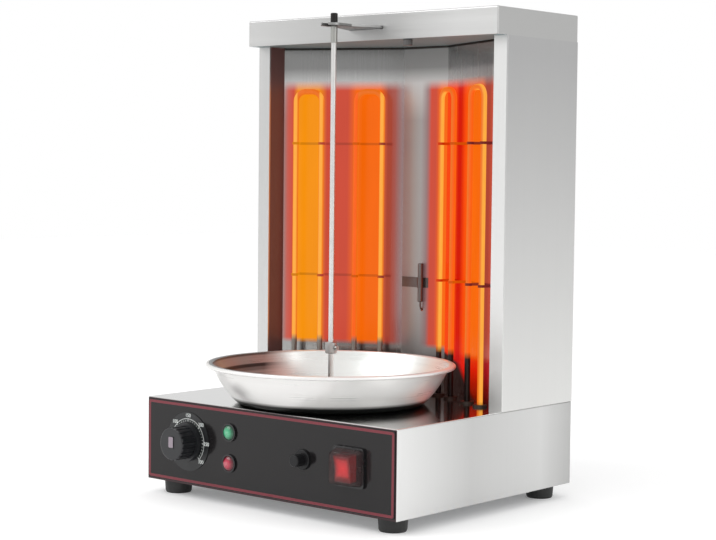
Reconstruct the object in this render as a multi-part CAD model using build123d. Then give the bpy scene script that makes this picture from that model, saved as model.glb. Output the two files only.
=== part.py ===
from build123d import *
import math
import os

# Vertical kebab grill: a steel base with a control panel, a tower with folded reflectors and
# glowing tube heaters, a spit turned from below and a round drip pan.
# All lengths are millimetres and all angles degrees.
# The origin is on the spit's axis at the worktop. -Y is the front, +X the right, +Z up.

# Overall sizes
base_width = 370.0
base_depth = 312.0
base_height = 94.0
axis_setback = 106.0
tower_setback = 178.0
tower_height = 407.0
cap_setback = 160.0
cap_height = 30.0

# Sheet metal
sheet = 1.2
bend_radius = 1.6
lip_width = 14.0
reflector_sheet = 1.0

# Clearances: a shaft in its bush, a screw in its hole, two pieces that move past each other
running_gap = 0.05
screw_gap = 0.1
moving_gap = 0.3

# Rubber feet
foot_height = 16.0
foot_radius = 16.0
foot_taper = 2.0
foot_taper_height = 2.0
foot_inset = 25.0
foot_recess_radius = 6.5
foot_recess_depth = 7.0
foot_screw_radius = 2.5
foot_screw_head = 4.6
foot_nut_radius = 5.0
foot_nut_height = 4.0
foot_head_height = 3.2

# Pan-head screws
screw_radius = 2.0
screw_head_radius = 3.8
screw_head_height = 2.2
screw_head_round = 1.0
screw_slot_length = 4.6
screw_slot_width = 0.9
screw_slot_depth = 0.9
screw_reach = 3.0
tower_screw_inset = 20.0
back_screw_shares = (0.08, 0.5, 0.92)
base_screw_inset = 75.0

# Tower: front flanges, their returns, and the reflector walls
flange_width = 18.0
return_depth = 26.0
centre_wall_width = 66.0
centre_wall_gap = 42.0
reflector_lip = 12.0
vent_slot_length = 34.0
vent_slot_height = 4.0
vent_slot_pitch = 9.0
vent_slot_rows = 6
vent_slot_spread = 46.0
vent_below_top = 34.0

# Tube heaters: two loops on each side wall
heater_tube_radius = 3.25
heater_loop_width = 32.0
heater_corner_radius = 12.0
heater_standoff = 18.0
heater_front_place = 36.5
heater_loop_pitch = 75.0
heater_top_clearance = 50.0
heater_tail = 20.0
heater_pin_radius = 1.8
heater_pin_length = 10.0
bush_radius = 6.0
bush_flange_radius = 8.0
bush_flange_height = 2.5
bush_depth = 5.0
strip_height = 3.0
strip_thickness = 0.9
strip_overhang = 8.0
strip_low_level = 134.0
strip_high_level = 292.0
clip_wall = 0.9

# Drip pan
pan_rim_radius = 140.0
pan_rim_width = 7.0
pan_height = 45.0
pan_heel_radius = 103.0
pan_corner_radius = 16.0
pan_wall_bulge = 3.5
pan_sheet = 1.0
pan_hub_radius = 15.0
pan_hub_height = 24.0
pan_rim_turn = 2.5

# Spit and its drive
spit_radius = 3.0
spit_top_margin = 3.0
spit_tang = 4.2
spit_tang_length = 18.0
spit_pin_radius = 1.8
spit_pin_length = 10.5
ferrule_radius = 4.0
ferrule_length = 15.0
ferrule_round = 1.4
sleeve_length = 18.0
sleeve_radius = 3.8
collar_radius = 6.5
collar_height = 13.0
collar_bevel = 0.8
collar_level = 62.0
collar_screw_radius = 1.5
collar_screw_length = 7.0
collar_screw_head = 2.6
socket_radius = 9.0
socket_rise = 23.0
socket_bevel = 1.2
socket_drop = 14.0
drive_bush_radius = 12.0
drive_bush_flange = 13.0
drive_bush_flange_height = 1.6
drive_bush_drop = 5.0

# Gear motor under the base top
motor_radius = 25.0
motor_height = 26.0
motor_round = 2.0
motor_bore_depth = 18.0
motor_drop = 25.0
motor_shaft_radius = 3.5
motor_shaft_entry = 9.5
motor_boss_radius = 7.0
motor_boss_height = 3.0
motor_ear_reach = 33.0
motor_ear_width = 12.0
motor_ear_thickness = 2.0
bracket_half_width = 44.0
bracket_depth = 40.0
bracket_sheet = 1.5
bracket_flange = 12.0

# Support arm for the spit's upper end
arm_thickness = 3.0
arm_level = 12.5
arm_nose_radius = 12.0
arm_nose_reach = 4.0
arm_notch_gap = 0.6
arm_width = 50.0
arm_taper_start = 16.0
arm_taper_margin = 4.0
arm_tail_half_width = 75.0
arm_tail_length = 44.0
arm_travel = 40.0
rail_width = 9.0
rail_cover = 5.0
rail_wall = 2.5
thumb_inset = 20.0
thumb_setback = 8.0
thumb_head_radius = 5.5
thumb_head_height = 7.0
thumb_shank_radius = 2.5
thumb_boss_radius = 6.0
thumb_bevel = 0.6
thumb_grooves = 18
thumb_groove_radius = 0.7
thumb_groove_offset = 0.3
thumb_boss_height = 5.0

# Control panel
panel_thickness = 1.0
panel_margin = 2.0
control_height = 49.0

# Thermostat
thermostat_inset = 68.0
dial_radius = 33.0
dial_thickness = 1.0
knob_radius = 21.5
knob_nose_radius = 18.5
knob_skirt = 5.0
knob_depth = 25.0
knob_nose_round = 2.0
knob_flutes = 20
knob_flute_radius = 1.3
knob_flute_offset = 0.4
knob_pointer_width = 8.0
knob_pointer_start = -4.5
knob_pointer_end = 8.5
knob_pointer_rise = 0.6
knob_wall = 3.0
stem_radius = 3.0
stem_flat = 0.8
thermostat_boss_radius = 5.0
thermostat_width = 46.0
thermostat_height = 34.0
thermostat_depth = 30.0
thermostat_round = 2.0
thermostat_bore_depth = 18.0

# Temperature sensor on the centre wall
bulb_radius = 3.2
bulb_length = 46.0
bulb_round = 1.3
bulb_bore_depth = 4.0
bulb_x = -2.0
bulb_level = 128.0
capillary_radius = 1.0
capillary_bend = 5.0
capillary_hole_radius = 3.0
capillary_entry_radius = 2.0
capillary_run_height = 80.0
capillary_loop = 9.0
clip_height = 12.0
clip_sheet = 0.9
clip_left_foot = 26.0
clip_right_foot = 5.0

# Indicator lamps
lamp_inset = 133.0
green_lamp_height = 66.0
red_lamp_height = 32.0
lamp_barrel_radius = 6.0
lamp_bore_radius = 4.2
lamp_bezel_radius = 10.0
lamp_bezel_height = 2.2
lamp_web = 0.7
lamp_barrel_length = 24.0
lamp_lens_radius = 8.3
lamp_lens_round = 2.7
lamp_lens_rise = 4.5
lamp_lens_seat = 3.0

# Push button
button_inset = 128.0
button_bezel_radius = 11.0
button_bezel_height = 3.0
button_bezel_round = 1.2
button_barrel_radius = 8.0
button_barrel_length = 22.0
button_radius = 6.6
button_round = 1.5
button_bore_depth = 12.1
button_rise = 12.0
button_stem_radius = 3.0
button_stroke = 3.0
button_wall = 2.0
spring_outer_radius = 5.4
spring_wall = 0.8

# Rocker switch under a soft clear hood
switch_inset = 62.0
switch_bezel = 42.0
switch_bezel_height = 3.0
switch_body = 36.0
switch_body_depth = 28.0
switch_pocket_depth = 10.0
rocker_width = 21.0
rocker_length = 27.0
rocker_rise = 10.0
rocker_depth = 5.0
rocker_angle = 6.0
rocker_pin_radius = 1.5
rocker_pin_reach = 2.0
rocker_pocket_gap = 1.2
hood_size = 38.0
hood_front_width = 28.0
hood_front_height = 33.0
hood_rise = 15.0
hood_wall = 1.2
hood_corner = 4.0
hood_round = 2.0

# Wiring
terminal_inset = 75.0
terminal_y = 90.0
terminal_length = 62.0
terminal_width = 22.0
terminal_height = 18.0
terminal_round = 2.0
terminal_ways = 5
terminal_screw_radius = 3.0
terminal_screw_depth = 6.0
gland_inset = 65.0
gland_height = 32.0
gland_bore_radius = 4.0
gland_thread_radius = 8.0
gland_hex_radius = 11.5
gland_hex_length = 7.0
gland_dome_radius = 9.5
gland_dome_length = 12.0
gland_dome_round = 3.0
gland_thread_length = 10.0
locknut_length = 4.5
base_vent_rows = 7
base_vent_length = 70.0
base_vent_width = 5.0
base_vent_pitch = 13.0

# Derived levels and planes
half_width = base_width / 2
front_y = -axis_setback
back_y = front_y + base_depth
base_bottom_z = foot_height
base_top_z = base_bottom_z + base_height
thermostat_x = thermostat_inset - half_width
lamp_x = lamp_inset - half_width
button_x = half_width - button_inset
switch_x = half_width - switch_inset
terminal_x = half_width - terminal_inset
gland_x = half_width - gland_inset
thumb_x = arm_tail_half_width - thumb_inset
cap_bottom_z = base_top_z + tower_height
cap_top_z = cap_bottom_z + cap_height
tower_front_y = front_y + tower_setback
cap_front_y = front_y + cap_setback
panel_face_y = front_y - panel_thickness
control_z = base_bottom_z + control_height
arm_bottom_z = cap_bottom_z + arm_level
arm_top_z = arm_bottom_z + arm_thickness
spit_top_z = cap_top_z - spit_top_margin
socket_bottom_z = base_top_z - socket_drop
socket_top_z = base_top_z + socket_rise
spit_bottom_z = socket_top_z - spit_tang_length
motor_top_z = base_top_z - motor_drop
screw_hole_radius = screw_radius + screw_gap

# Reflector walls seen from above: the side wall runs from wall_front to wall_back
wall_front = Vector(half_width - flange_width, tower_front_y + return_depth)
wall_back = Vector(centre_wall_width / 2, back_y - centre_wall_gap)
wall_length = (wall_back - wall_front).length
wall_along = (wall_back - wall_front).normalized()
wall_inward = Vector(-wall_along.Y, wall_along.X)


def block(x0, x1, y0, y1, z0, z1):
    """A box between two corners."""
    centre = Pos((x0 + x1) / 2, (y0 + y1) / 2, (z0 + z1) / 2)
    return centre * Box(x1 - x0, y1 - y0, z1 - z0)


def upright(x, y, z0, z1, radius):
    """A vertical cylinder."""
    return Pos(x, y, (z0 + z1) / 2) * Cylinder(radius, z1 - z0)


def along_y(x, z, y0, y1, radius):
    """A cylinder that runs front to back."""
    return Pos(x, (y0 + y1) / 2, z) * Rot(X=90) * Cylinder(radius, y1 - y0)


def along_x(y, z, x0, x1, radius):
    """A cylinder that runs left to right."""
    return Pos((x0 + x1) / 2, y, z) * Rot(Y=90) * Cylinder(radius, x1 - x0)


def prism(points, z0, z1):
    """A vertical prism over a polygon seen from above."""
    outline = make_face(Polyline(*[(p[0], p[1]) for p in points], close=True))
    return Pos(0, 0, z0) * extrude(outline, amount=z1 - z0, dir=(0, 0, 1))


def turned(points):
    """A solid turned about the Z axis from (radius, height) points."""
    return revolve(Plane.XZ * make_face(Polyline(*points, close=True)), axis=Axis.Z)


def to_left(part):
    """The mirror image on the left side."""
    return mirror(part, about=Plane.YZ)


def pan_screw(length):
    """A pan-head screw with its seat at the origin, its head up and its shank down."""
    head = Pos(0, 0, screw_head_height / 2) * Cylinder(screw_head_radius, screw_head_height)
    rim = head.edges().filter_by(GeomType.CIRCLE).sort_by(Axis.Z)[-1]
    head = fillet(rim, screw_head_round)
    slot_z = screw_head_height - screw_slot_depth / 2
    for turn in (0, 90):
        slot = Box(screw_slot_length, screw_slot_width, screw_slot_depth)
        head -= Pos(0, 0, slot_z) * Rot(Z=turn) * slot
    return head + Pos(0, 0, -length / 2) * Cylinder(screw_radius, length)


def wall_point(along, inward, side=1):
    """A point near a side reflector: a distance along it from its front edge, and off it."""
    spot = wall_front + wall_along * along + wall_inward * inward
    return (side * spot.X, spot.Y)


# Places that several pieces share
heater_places = [heater_front_place + step * heater_loop_pitch for step in (0, 1)]
heater_leg_offset = heater_loop_width / 2
heater_top_z = cap_bottom_z - heater_top_clearance - heater_tube_radius
tower_screw_x = half_width - sheet - lip_width / 2
tower_screw_ys = (wall_front.Y + tower_screw_inset, back_y - tower_screw_inset)
back_screw_zs = [base_top_z + tower_height * share for share in back_screw_shares]
base_screw_ys = (front_y + base_screw_inset, (front_y + back_y) / 2, back_y - base_screw_inset)
base_lip_x = half_width - sheet - lip_width / 2
thumb_y = cap_front_y + thumb_setback


def heater_leg_points(side):
    """Where the legs of one side's two heater loops stand."""
    points = []
    for place in heater_places:
        for step in (-1, 1):
            points.append(wall_point(place + step * heater_leg_offset, heater_standoff, side))
    return points


def foot_points():
    """Where the four feet stand."""
    x = half_width - foot_inset
    return {
        "front_left": (-x, front_y + foot_inset),
        "front_right": (x, front_y + foot_inset),
        "rear_left": (-x, back_y - foot_inset),
        "rear_right": (x, back_y - foot_inset),
    }


def panel_openings(y0, y1):
    """Everything that is cut through the base's front for the controls."""
    lamp_holes = [
        along_y(lamp_x, base_bottom_z + height, y0, y1, lamp_barrel_radius + screw_gap)
        for height in (green_lamp_height, red_lamp_height)
    ]
    stem_hole = along_y(thermostat_x, control_z, y0, y1, thermostat_boss_radius + screw_gap)
    button_hole = along_y(button_x, control_z, y0, y1, button_barrel_radius + screw_gap)
    reach = switch_body / 2 + screw_gap
    switch_hole = block(switch_x - reach, switch_x + reach, y0, y1, control_z - reach, control_z + reach)
    return lamp_holes + [stem_hole, button_hole, switch_hole]


def base_housing():
    """The folded steel box: top, front, back and two sides, open below."""
    shell = block(-half_width, half_width, front_y, back_y, base_bottom_z, base_top_z)
    corners = shell.edges().filter_by(Axis.Z) + shell.faces().sort_by(Axis.Z)[-1].edges()
    shell = fillet(corners, bend_radius)
    shell -= block(
        -half_width + sheet, half_width - sheet,
        front_y + sheet, back_y - sheet,
        base_bottom_z - sheet, base_top_z - sheet,
    )
    for side in (-1, 1):
        edge = side * (half_width - sheet)
        inner = edge - side * lip_width
        lip = block(
            min(edge, inner), max(edge, inner),
            front_y + sheet, back_y - sheet,
            base_bottom_z + sheet, base_bottom_z + 2 * sheet,
        )
        shell += lip
        for x, y in base_screw_points(side):
            shell -= upright(x, y, base_bottom_z, base_bottom_z + 3 * sheet, screw_hole_radius)
        for name, (x, y) in foot_points().items():
            if x * side > 0:
                shell -= upright(x, y, base_bottom_z, base_bottom_z + 3 * sheet, foot_nut_radius + 1)
        for x, y in heater_leg_points(side):
            shell -= upright(x, y, base_top_z - 2 * sheet, base_top_z + sheet, bush_radius + screw_gap)
        for y in tower_screw_ys:
            shell -= upright(
                side * tower_screw_x, y, base_top_z - 2 * sheet, base_top_z + sheet, screw_hole_radius
            )
    shell -= upright(0, 0, base_top_z - 2 * sheet, base_top_z + sheet, drive_bush_radius + screw_gap)
    shell -= upright(
        bulb_x, capillary_y(), base_top_z - 2 * sheet, base_top_z + sheet, capillary_hole_radius
    )
    for hole in panel_openings(front_y - sheet, front_y + 2 * sheet):
        shell -= hole
    shell -= along_y(
        gland_x, base_bottom_z + gland_height, back_y - 2 * sheet, back_y + sheet,
        gland_thread_radius + screw_gap,
    )
    return shell


def base_screw_points(side):
    """Where the base plate is screwed to one side's lip."""
    return [(side * base_lip_x, y) for y in base_screw_ys]


def base_plate():
    """The bottom sheet with its vent slots and the weld nuts for the feet."""
    x = half_width - sheet - moving_gap
    plate = block(
        -x, x, front_y + sheet + moving_gap, back_y - sheet - moving_gap,
        base_bottom_z, base_bottom_z + sheet,
    )
    for row in range(base_vent_rows):
        y = (row - (base_vent_rows - 1) / 2) * base_vent_pitch
        plate -= block(
            -base_vent_length / 2, base_vent_length / 2,
            y - base_vent_width / 2, y + base_vent_width / 2,
            base_bottom_z - sheet, base_bottom_z + 2 * sheet,
        )
    for side in (-1, 1):
        for x, y in base_screw_points(side):
            plate -= upright(x, y, base_bottom_z - sheet, base_bottom_z + 2 * sheet, screw_hole_radius)
    for x, y in foot_points().values():
        top = base_bottom_z + sheet + foot_nut_height
        plate += upright(x, y, base_bottom_z, top, foot_nut_radius)
        plate -= upright(x, y, base_bottom_z - sheet, top + sheet, foot_screw_radius + screw_gap)
    return plate


def rubber_foot(x, y):
    """One foot, a little narrower at the worktop, with a recess for its screw."""
    profile = [
        (0, 0),
        (foot_radius - foot_taper, 0),
        (foot_radius - foot_taper / 2, foot_taper_height),
        (foot_radius, foot_height),
        (0, foot_height),
    ]
    foot = turned(profile)
    foot -= upright(0, 0, -1, foot_recess_depth, foot_recess_radius)
    foot -= upright(0, 0, 0, foot_height + 1, foot_screw_radius + screw_gap)
    return Pos(x, y, 0) * foot


def foot_screws():
    """One screw up through each foot into its weld nut."""
    screws = []
    top = base_bottom_z + sheet + foot_nut_height
    head_bottom = foot_recess_depth - foot_head_height
    for x, y in foot_points().values():
        head = upright(x, y, head_bottom, foot_recess_depth, foot_screw_head)
        head -= block(
            x - screw_slot_length / 2, x + screw_slot_length / 2,
            y - screw_slot_width / 2, y + screw_slot_width / 2,
            head_bottom - 1, head_bottom + screw_slot_depth,
        )
        screws.append(head + upright(x, y, foot_recess_depth, top, foot_screw_radius))
    return Compound(children=screws)


def housing_screws():
    """The visible screws: up through the base plate and in through the back panel."""
    screws = []
    for side in (-1, 1):
        for x, y in base_screw_points(side):
            screws.append(Pos(x, y, base_bottom_z) * Rot(X=180) * pan_screw(2 * sheet + screw_reach))
        for z in back_screw_zs:
            place = Pos(side * tower_screw_x, back_y, z)
            screws.append(place * Rot(X=-90) * pan_screw(2 * sheet + screw_reach))
    return Compound(children=screws)


def frame_screws():
    """The hidden screws: the tower's lips to base and roof, and the motor to its bracket."""
    screws = []
    for side in (-1, 1):
        for y in tower_screw_ys:
            x = side * tower_screw_x
            screws.append(Pos(x, y, base_top_z + sheet) * pan_screw(2 * sheet + screw_reach))
            place = Pos(x, y, cap_bottom_z - sheet)
            screws.append(place * Rot(X=180) * pan_screw(2 * sheet + screw_reach))
        place = Pos(side * motor_screw_x(), 0, motor_top_z + bracket_sheet)
        screws.append(place * pan_screw(bracket_sheet + motor_ear_thickness + screw_reach))
    return Compound(children=screws)


def control_panel():
    """The dark plate over the base's front."""
    plate = block(
        -half_width + panel_margin, half_width - panel_margin,
        panel_face_y, front_y,
        base_bottom_z + panel_margin, base_top_z - panel_margin,
    )
    corners = plate.edges().filter_by(Axis.Y)
    plate = fillet(corners, bend_radius)
    for hole in panel_openings(panel_face_y - sheet, front_y + sheet):
        plate -= hole
    return plate


def right_side_panel():
    """The tower's side: outer wall, front flange, return, and lips at the back, top and foot."""
    inner_x = half_width - flange_width
    panel = block(half_width - sheet, half_width, tower_front_y, back_y, base_top_z, cap_bottom_z)
    panel += block(inner_x, half_width, tower_front_y, tower_front_y + sheet, base_top_z, cap_bottom_z)
    corner = panel.edges().filter_by(Axis.Z).group_by(Axis.Y)[0].sort_by(Axis.X)[-1]
    panel = fillet(corner, sheet)
    panel += block(
        inner_x, inner_x + sheet, tower_front_y, tower_front_y + return_depth, base_top_z, cap_bottom_z
    )
    lip_x0 = half_width - sheet - lip_width
    lip_x1 = half_width - sheet
    panel += block(lip_x0, lip_x1, back_y - 2 * sheet, back_y - sheet, base_top_z, cap_bottom_z)
    for z0 in (base_top_z, cap_bottom_z - sheet):
        panel += block(lip_x0, lip_x1, wall_front.Y + sheet, back_y - sheet, z0, z0 + sheet)
        for y in tower_screw_ys:
            panel -= upright(tower_screw_x, y, z0 - sheet, z0 + 2 * sheet, screw_hole_radius)
    for z in back_screw_zs:
        panel -= along_y(tower_screw_x, z, back_y - 3 * sheet, back_y, screw_hole_radius)
    return panel


def back_panel():
    """The tower's back sheet with two columns of vent slots near its top."""
    x = half_width - sheet
    panel = block(-x, x, back_y - sheet, back_y, base_top_z, cap_bottom_z)
    for side in (-1, 1):
        for row in range(vent_slot_rows):
            z = cap_bottom_z - vent_below_top - row * vent_slot_pitch
            centre = side * vent_slot_spread
            panel -= block(
                centre - vent_slot_length / 2, centre + vent_slot_length / 2,
                back_y - 2 * sheet, back_y + sheet,
                z - vent_slot_height / 2, z + vent_slot_height / 2,
            )
        for z in back_screw_zs:
            panel -= along_y(side * tower_screw_x, z, back_y - 2 * sheet, back_y + sheet, screw_hole_radius)
    return panel


def top_cap():
    """The folded lid: top and four skirts, with a slot for the support arm."""
    cap = block(-half_width, half_width, cap_front_y, back_y, cap_bottom_z, cap_top_z)
    corners = cap.edges().filter_by(Axis.Z) + cap.faces().sort_by(Axis.Z)[-1].edges()
    cap = fillet(corners, bend_radius)
    cap -= block(
        -half_width + sheet, half_width - sheet,
        cap_front_y + sheet, back_y - sheet,
        cap_bottom_z - sheet, cap_top_z - sheet,
    )
    reach = arm_width / 2 + moving_gap
    cap -= block(
        -reach, reach, cap_front_y - sheet, cap_front_y + 2 * sheet,
        arm_bottom_z - moving_gap, arm_top_z + moving_gap,
    )
    return cap


def roof_plate():
    """The sheet that closes the cap below, with the threaded boss of the thumb screw."""
    plate = block(
        -half_width + sheet, half_width - sheet,
        cap_front_y + sheet, back_y - sheet,
        cap_bottom_z, cap_bottom_z + sheet,
    )
    boss_top = cap_bottom_z + sheet + thumb_boss_height
    plate += upright(thumb_x, thumb_y, cap_bottom_z, boss_top, thumb_boss_radius)
    plate -= upright(
        thumb_x, thumb_y, cap_bottom_z - sheet, boss_top + sheet, thumb_shank_radius + running_gap
    )
    for side in (-1, 1):
        for y in tower_screw_ys:
            plate -= upright(
                side * tower_screw_x, y, cap_bottom_z - sheet, cap_bottom_z + 2 * sheet, screw_hole_radius
            )
    return plate


def right_reflector():
    """The polished side wall, with a lip that lies behind the side panel's return."""
    a = wall_point(0, 0)
    b = wall_point(wall_length, 0)
    c = wall_point(wall_length, -reflector_sheet)
    d = wall_point(0, -reflector_sheet)
    wall = prism([a, b, c, d], base_top_z, cap_bottom_z)
    lip_x = half_width - flange_width + sheet
    wall += block(
        lip_x, lip_x + reflector_sheet,
        wall_front.Y - reflector_lip, wall_front.Y + reflector_sheet,
        base_top_z, cap_bottom_z,
    )
    wall += block(
        wall_front.X, lip_x + reflector_sheet,
        wall_front.Y, wall_front.Y + reflector_sheet,
        base_top_z, cap_bottom_z,
    )
    return wall


def centre_reflector():
    """The polished centre wall, with a lip behind each side wall and a hole for the sensor's tube."""
    y = wall_back.Y
    half = centre_wall_width / 2
    wall = block(-half, half, y, y + reflector_sheet, base_top_z, cap_bottom_z)
    for side in (-1, 1):
        points = [
            wall_point(wall_length, -reflector_sheet, side),
            wall_point(wall_length - reflector_lip, -reflector_sheet, side),
            wall_point(wall_length - reflector_lip, -2 * reflector_sheet, side),
            wall_point(wall_length + reflector_sheet, -2 * reflector_sheet, side),
        ]
        wall += prism(points, base_top_z, cap_bottom_z)
        joint_points = [
            (side * half, y),
            wall_point(wall_length, -reflector_sheet, side),
            wall_point(wall_length + reflector_sheet, -2 * reflector_sheet, side),
            (side * (half - 2 * reflector_sheet), y + reflector_sheet),
        ]
        wall += prism(joint_points, base_top_z, cap_bottom_z)
    entry_z = capillary_entry_z()
    wall -= along_y(bulb_x, entry_z, y - reflector_sheet, y + 3 * reflector_sheet, capillary_entry_radius)
    return wall


def heater_loop(side, place):
    """One hairpin tube: two legs, two corner bends, and a pin at each cold end."""
    first = wall_point(place - heater_leg_offset, heater_standoff, side)
    second = wall_point(place + heater_leg_offset, heater_standoff, side)
    bottom = base_top_z - heater_tail
    path = FilletPolyline(
        (*first, bottom), (*first, heater_top_z), (*second, heater_top_z), (*second, bottom),
        radius=heater_corner_radius,
    )
    section = Plane(origin=(*first, bottom), z_dir=(0, 0, 1)) * Circle(heater_tube_radius)
    tube = sweep(section, path=path)
    for x, y in (first, second):
        tube += upright(x, y, bottom - heater_pin_length, bottom, heater_pin_radius)
    return tube


def heater_bushes():
    """The ceramic bush round each heater leg where it passes the base top."""
    bushes = []
    for side in (-1, 1):
        for x, y in heater_leg_points(side):
            bush = upright(x, y, base_top_z - bush_depth, base_top_z, bush_radius)
            bush += upright(x, y, base_top_z, base_top_z + bush_flange_height, bush_flange_radius)
            bush -= upright(
                x, y, base_top_z - bush_depth - 1, base_top_z + bush_flange_height + 1,
                heater_tube_radius + running_gap,
            )
            bushes.append(bush)
    return Compound(children=bushes)


def heater_strips(side):
    """Two thin steel strips on one wall, each with a clip round every heater leg."""
    strips = []
    start = heater_places[0] - heater_leg_offset - strip_overhang
    end = heater_places[1] + heater_leg_offset + strip_overhang
    ring_out = heater_tube_radius + running_gap + clip_wall
    for level in (strip_low_level, strip_high_level):
        z0 = base_top_z + level - strip_height / 2
        z1 = z0 + strip_height
        corners = [
            wall_point(start, 0, side),
            wall_point(end, 0, side),
            wall_point(end, strip_thickness, side),
            wall_point(start, strip_thickness, side),
        ]
        strip = prism(corners, z0, z1)
        for x, y in heater_leg_points(side):
            strip += upright(x, y, z0, z1, ring_out)
        for place in heater_places:
            for step in (-1, 1):
                along = place + step * heater_leg_offset
                stem = [
                    wall_point(along - clip_wall, 0, side),
                    wall_point(along + clip_wall, 0, side),
                    wall_point(along + clip_wall, heater_standoff, side),
                    wall_point(along - clip_wall, heater_standoff, side),
                ]
                strip += prism(stem, z0, z1)
        for x, y in heater_leg_points(side):
            strip -= upright(x, y, z0 - 1, z1 + 1, heater_tube_radius + running_gap)
        strips.append(strip)
    return Compound(children=strips)


def pan_profile(heel, foot_z, rim, rim_z):
    """One side of the pan's wall: a floor point, the heel, and a bulged wall up to the rim."""
    run = Vector(rim - heel, rim_z - foot_z)
    outward = Vector(run.Y, -run.X).normalized()
    middle = Vector(heel, foot_z) + run * 0.5 + outward * pan_wall_bulge
    return ThreePointArc((heel, foot_z), (middle.X, middle.Y), (rim, rim_z))


def drip_pan():
    """A round pan with a bulged sloping wall, a turned-down rim and a hub round the drive."""
    top = pan_height
    wall_top = pan_rim_radius - pan_rim_width
    hub_in = pan_hub_radius - pan_sheet
    lip_in = pan_rim_radius - pan_sheet
    outside = pan_profile(pan_heel_radius, 0, wall_top, top - pan_sheet)
    inside = pan_profile(pan_heel_radius - pan_sheet / 2, pan_sheet, wall_top - pan_sheet, top)
    rim = Polyline(
        (wall_top, top - pan_sheet),
        (lip_in, top - pan_sheet),
        (lip_in, top - pan_rim_turn),
        (pan_rim_radius, top - pan_rim_turn),
        (pan_rim_radius, top),
        (wall_top - pan_sheet, top),
    )
    hub = Polyline(
        (pan_heel_radius - pan_sheet / 2, pan_sheet),
        (pan_hub_radius, pan_sheet),
        (pan_hub_radius, pan_hub_height),
        (hub_in, pan_hub_height),
        (hub_in, 0),
        (pan_heel_radius, 0),
    )
    face = make_face(outside.edges() + rim.edges() + inside.edges() + hub.edges())
    heels = face.vertices().filter_by(lambda v: abs(v.X - pan_heel_radius) < pan_sheet)
    outer_heel = heels.sort_by(Axis.Y)[0]
    inner_heel = heels.sort_by(Axis.Y)[-1]
    face = fillet(outer_heel, pan_corner_radius)
    inner_heel = face.vertices().sort_by(
        lambda v: (Vector(v.X, v.Y) - Vector(inner_heel.X, inner_heel.Y)).length
    )[0]
    face = fillet(inner_heel, pan_corner_radius - pan_sheet)
    return Pos(0, 0, base_top_z) * revolve(Plane.XZ * face, axis=Axis.Z)


def spit_rod():
    """The upright rod, with a square tang for the drive socket."""
    rod = upright(0, 0, socket_top_z, spit_top_z - ferrule_length, spit_radius)
    rod += block(
        -spit_tang / 2, spit_tang / 2, -spit_tang / 2, spit_tang / 2, spit_bottom_z, socket_top_z + 1
    )
    pin_bottom = spit_top_z - ferrule_length
    return rod + upright(0, 0, pin_bottom - 1, pin_bottom + spit_pin_length, spit_pin_radius)


def spit_ferrule():
    """The dark end piece that is held to lift the spit, bored for the rod's end."""
    bottom = spit_top_z - ferrule_length
    ferrule = upright(0, 0, bottom, spit_top_z, ferrule_radius)
    ferrule = fillet(ferrule.edges().sort_by(Axis.Z)[-1], ferrule_round)
    bore_top = bottom + spit_pin_length
    return ferrule - upright(0, 0, bottom - 1, bore_top, spit_pin_radius + running_gap)


def spit_sleeve():
    """The steel sleeve under the ferrule that turns in the arm's notch."""
    top = spit_top_z - ferrule_length
    sleeve = upright(0, 0, top - sleeve_length, top, sleeve_radius)
    return sleeve - upright(0, 0, top - sleeve_length - 1, top + 1, spit_radius + running_gap)


def collar_z():
    """The level of the collar's middle."""
    return base_top_z + collar_level


def spit_collar():
    """The collar that keeps the food off the pan, cross-bored for its clamp screw."""
    z = collar_z()
    collar = upright(0, 0, z - collar_height / 2, z + collar_height / 2, collar_radius)
    collar = chamfer(collar.edges().filter_by(GeomType.CIRCLE), collar_bevel)
    collar -= upright(0, 0, z - collar_height, z + collar_height, spit_radius + running_gap)
    return collar - along_x(0, z, 0, collar_radius + 1, collar_screw_radius + running_gap)


def collar_screw():
    """The clamp screw in the collar's right side."""
    z = collar_z()
    start = spit_radius + running_gap
    end = start + collar_screw_length
    screw = along_x(0, z, start, end, collar_screw_radius)
    return screw + along_x(0, z, collar_radius + moving_gap, end, collar_screw_head)


def drive_socket():
    """The coupling on the motor's shaft, with a square hole for the spit's tang."""
    socket = upright(0, 0, socket_bottom_z, socket_top_z, socket_radius)
    socket = chamfer(socket.edges().sort_by(Axis.Z)[-1], socket_bevel)
    hole = spit_tang / 2 + running_gap
    socket -= block(-hole, hole, -hole, hole, spit_bottom_z - moving_gap, socket_top_z + 1)
    return socket - upright(
        0, 0, socket_bottom_z - 1, socket_bottom_z + motor_shaft_entry + running_gap,
        motor_shaft_radius + running_gap,
    )


def drive_bush():
    """The plastic bush that guides the drive socket in the base top."""
    bush = upright(0, 0, base_top_z - drive_bush_drop, base_top_z, drive_bush_radius)
    bush += upright(0, 0, base_top_z, base_top_z + drive_bush_flange_height, drive_bush_flange)
    return bush - upright(
        0, 0, base_top_z - drive_bush_drop - 1, base_top_z + drive_bush_flange_height + 1,
        socket_radius + running_gap,
    )


def motor_screw_x():
    """How far off the axis the motor's screws stand."""
    return motor_ear_reach - screw_head_radius


def motor_case():
    """The gear motor: a drum with a boss for its shaft and an ear on each side."""
    top = motor_top_z
    case = upright(0, 0, top - motor_height, top, motor_radius)
    case = fillet(case.edges().filter_by(GeomType.CIRCLE).sort_by(Axis.Z)[0], motor_round)
    case += upright(0, 0, top, top + motor_boss_height, motor_boss_radius)
    case += block(
        -motor_ear_reach, motor_ear_reach, -motor_ear_width / 2, motor_ear_width / 2,
        top - motor_ear_thickness, top,
    )
    for side in (-1, 1):
        case -= upright(side * motor_screw_x(), 0, top - 2 * motor_ear_thickness, top + 1, screw_hole_radius)
    return case - upright(
        0, 0, top - motor_bore_depth, top + motor_boss_height + 1, motor_shaft_radius + running_gap
    )


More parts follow.
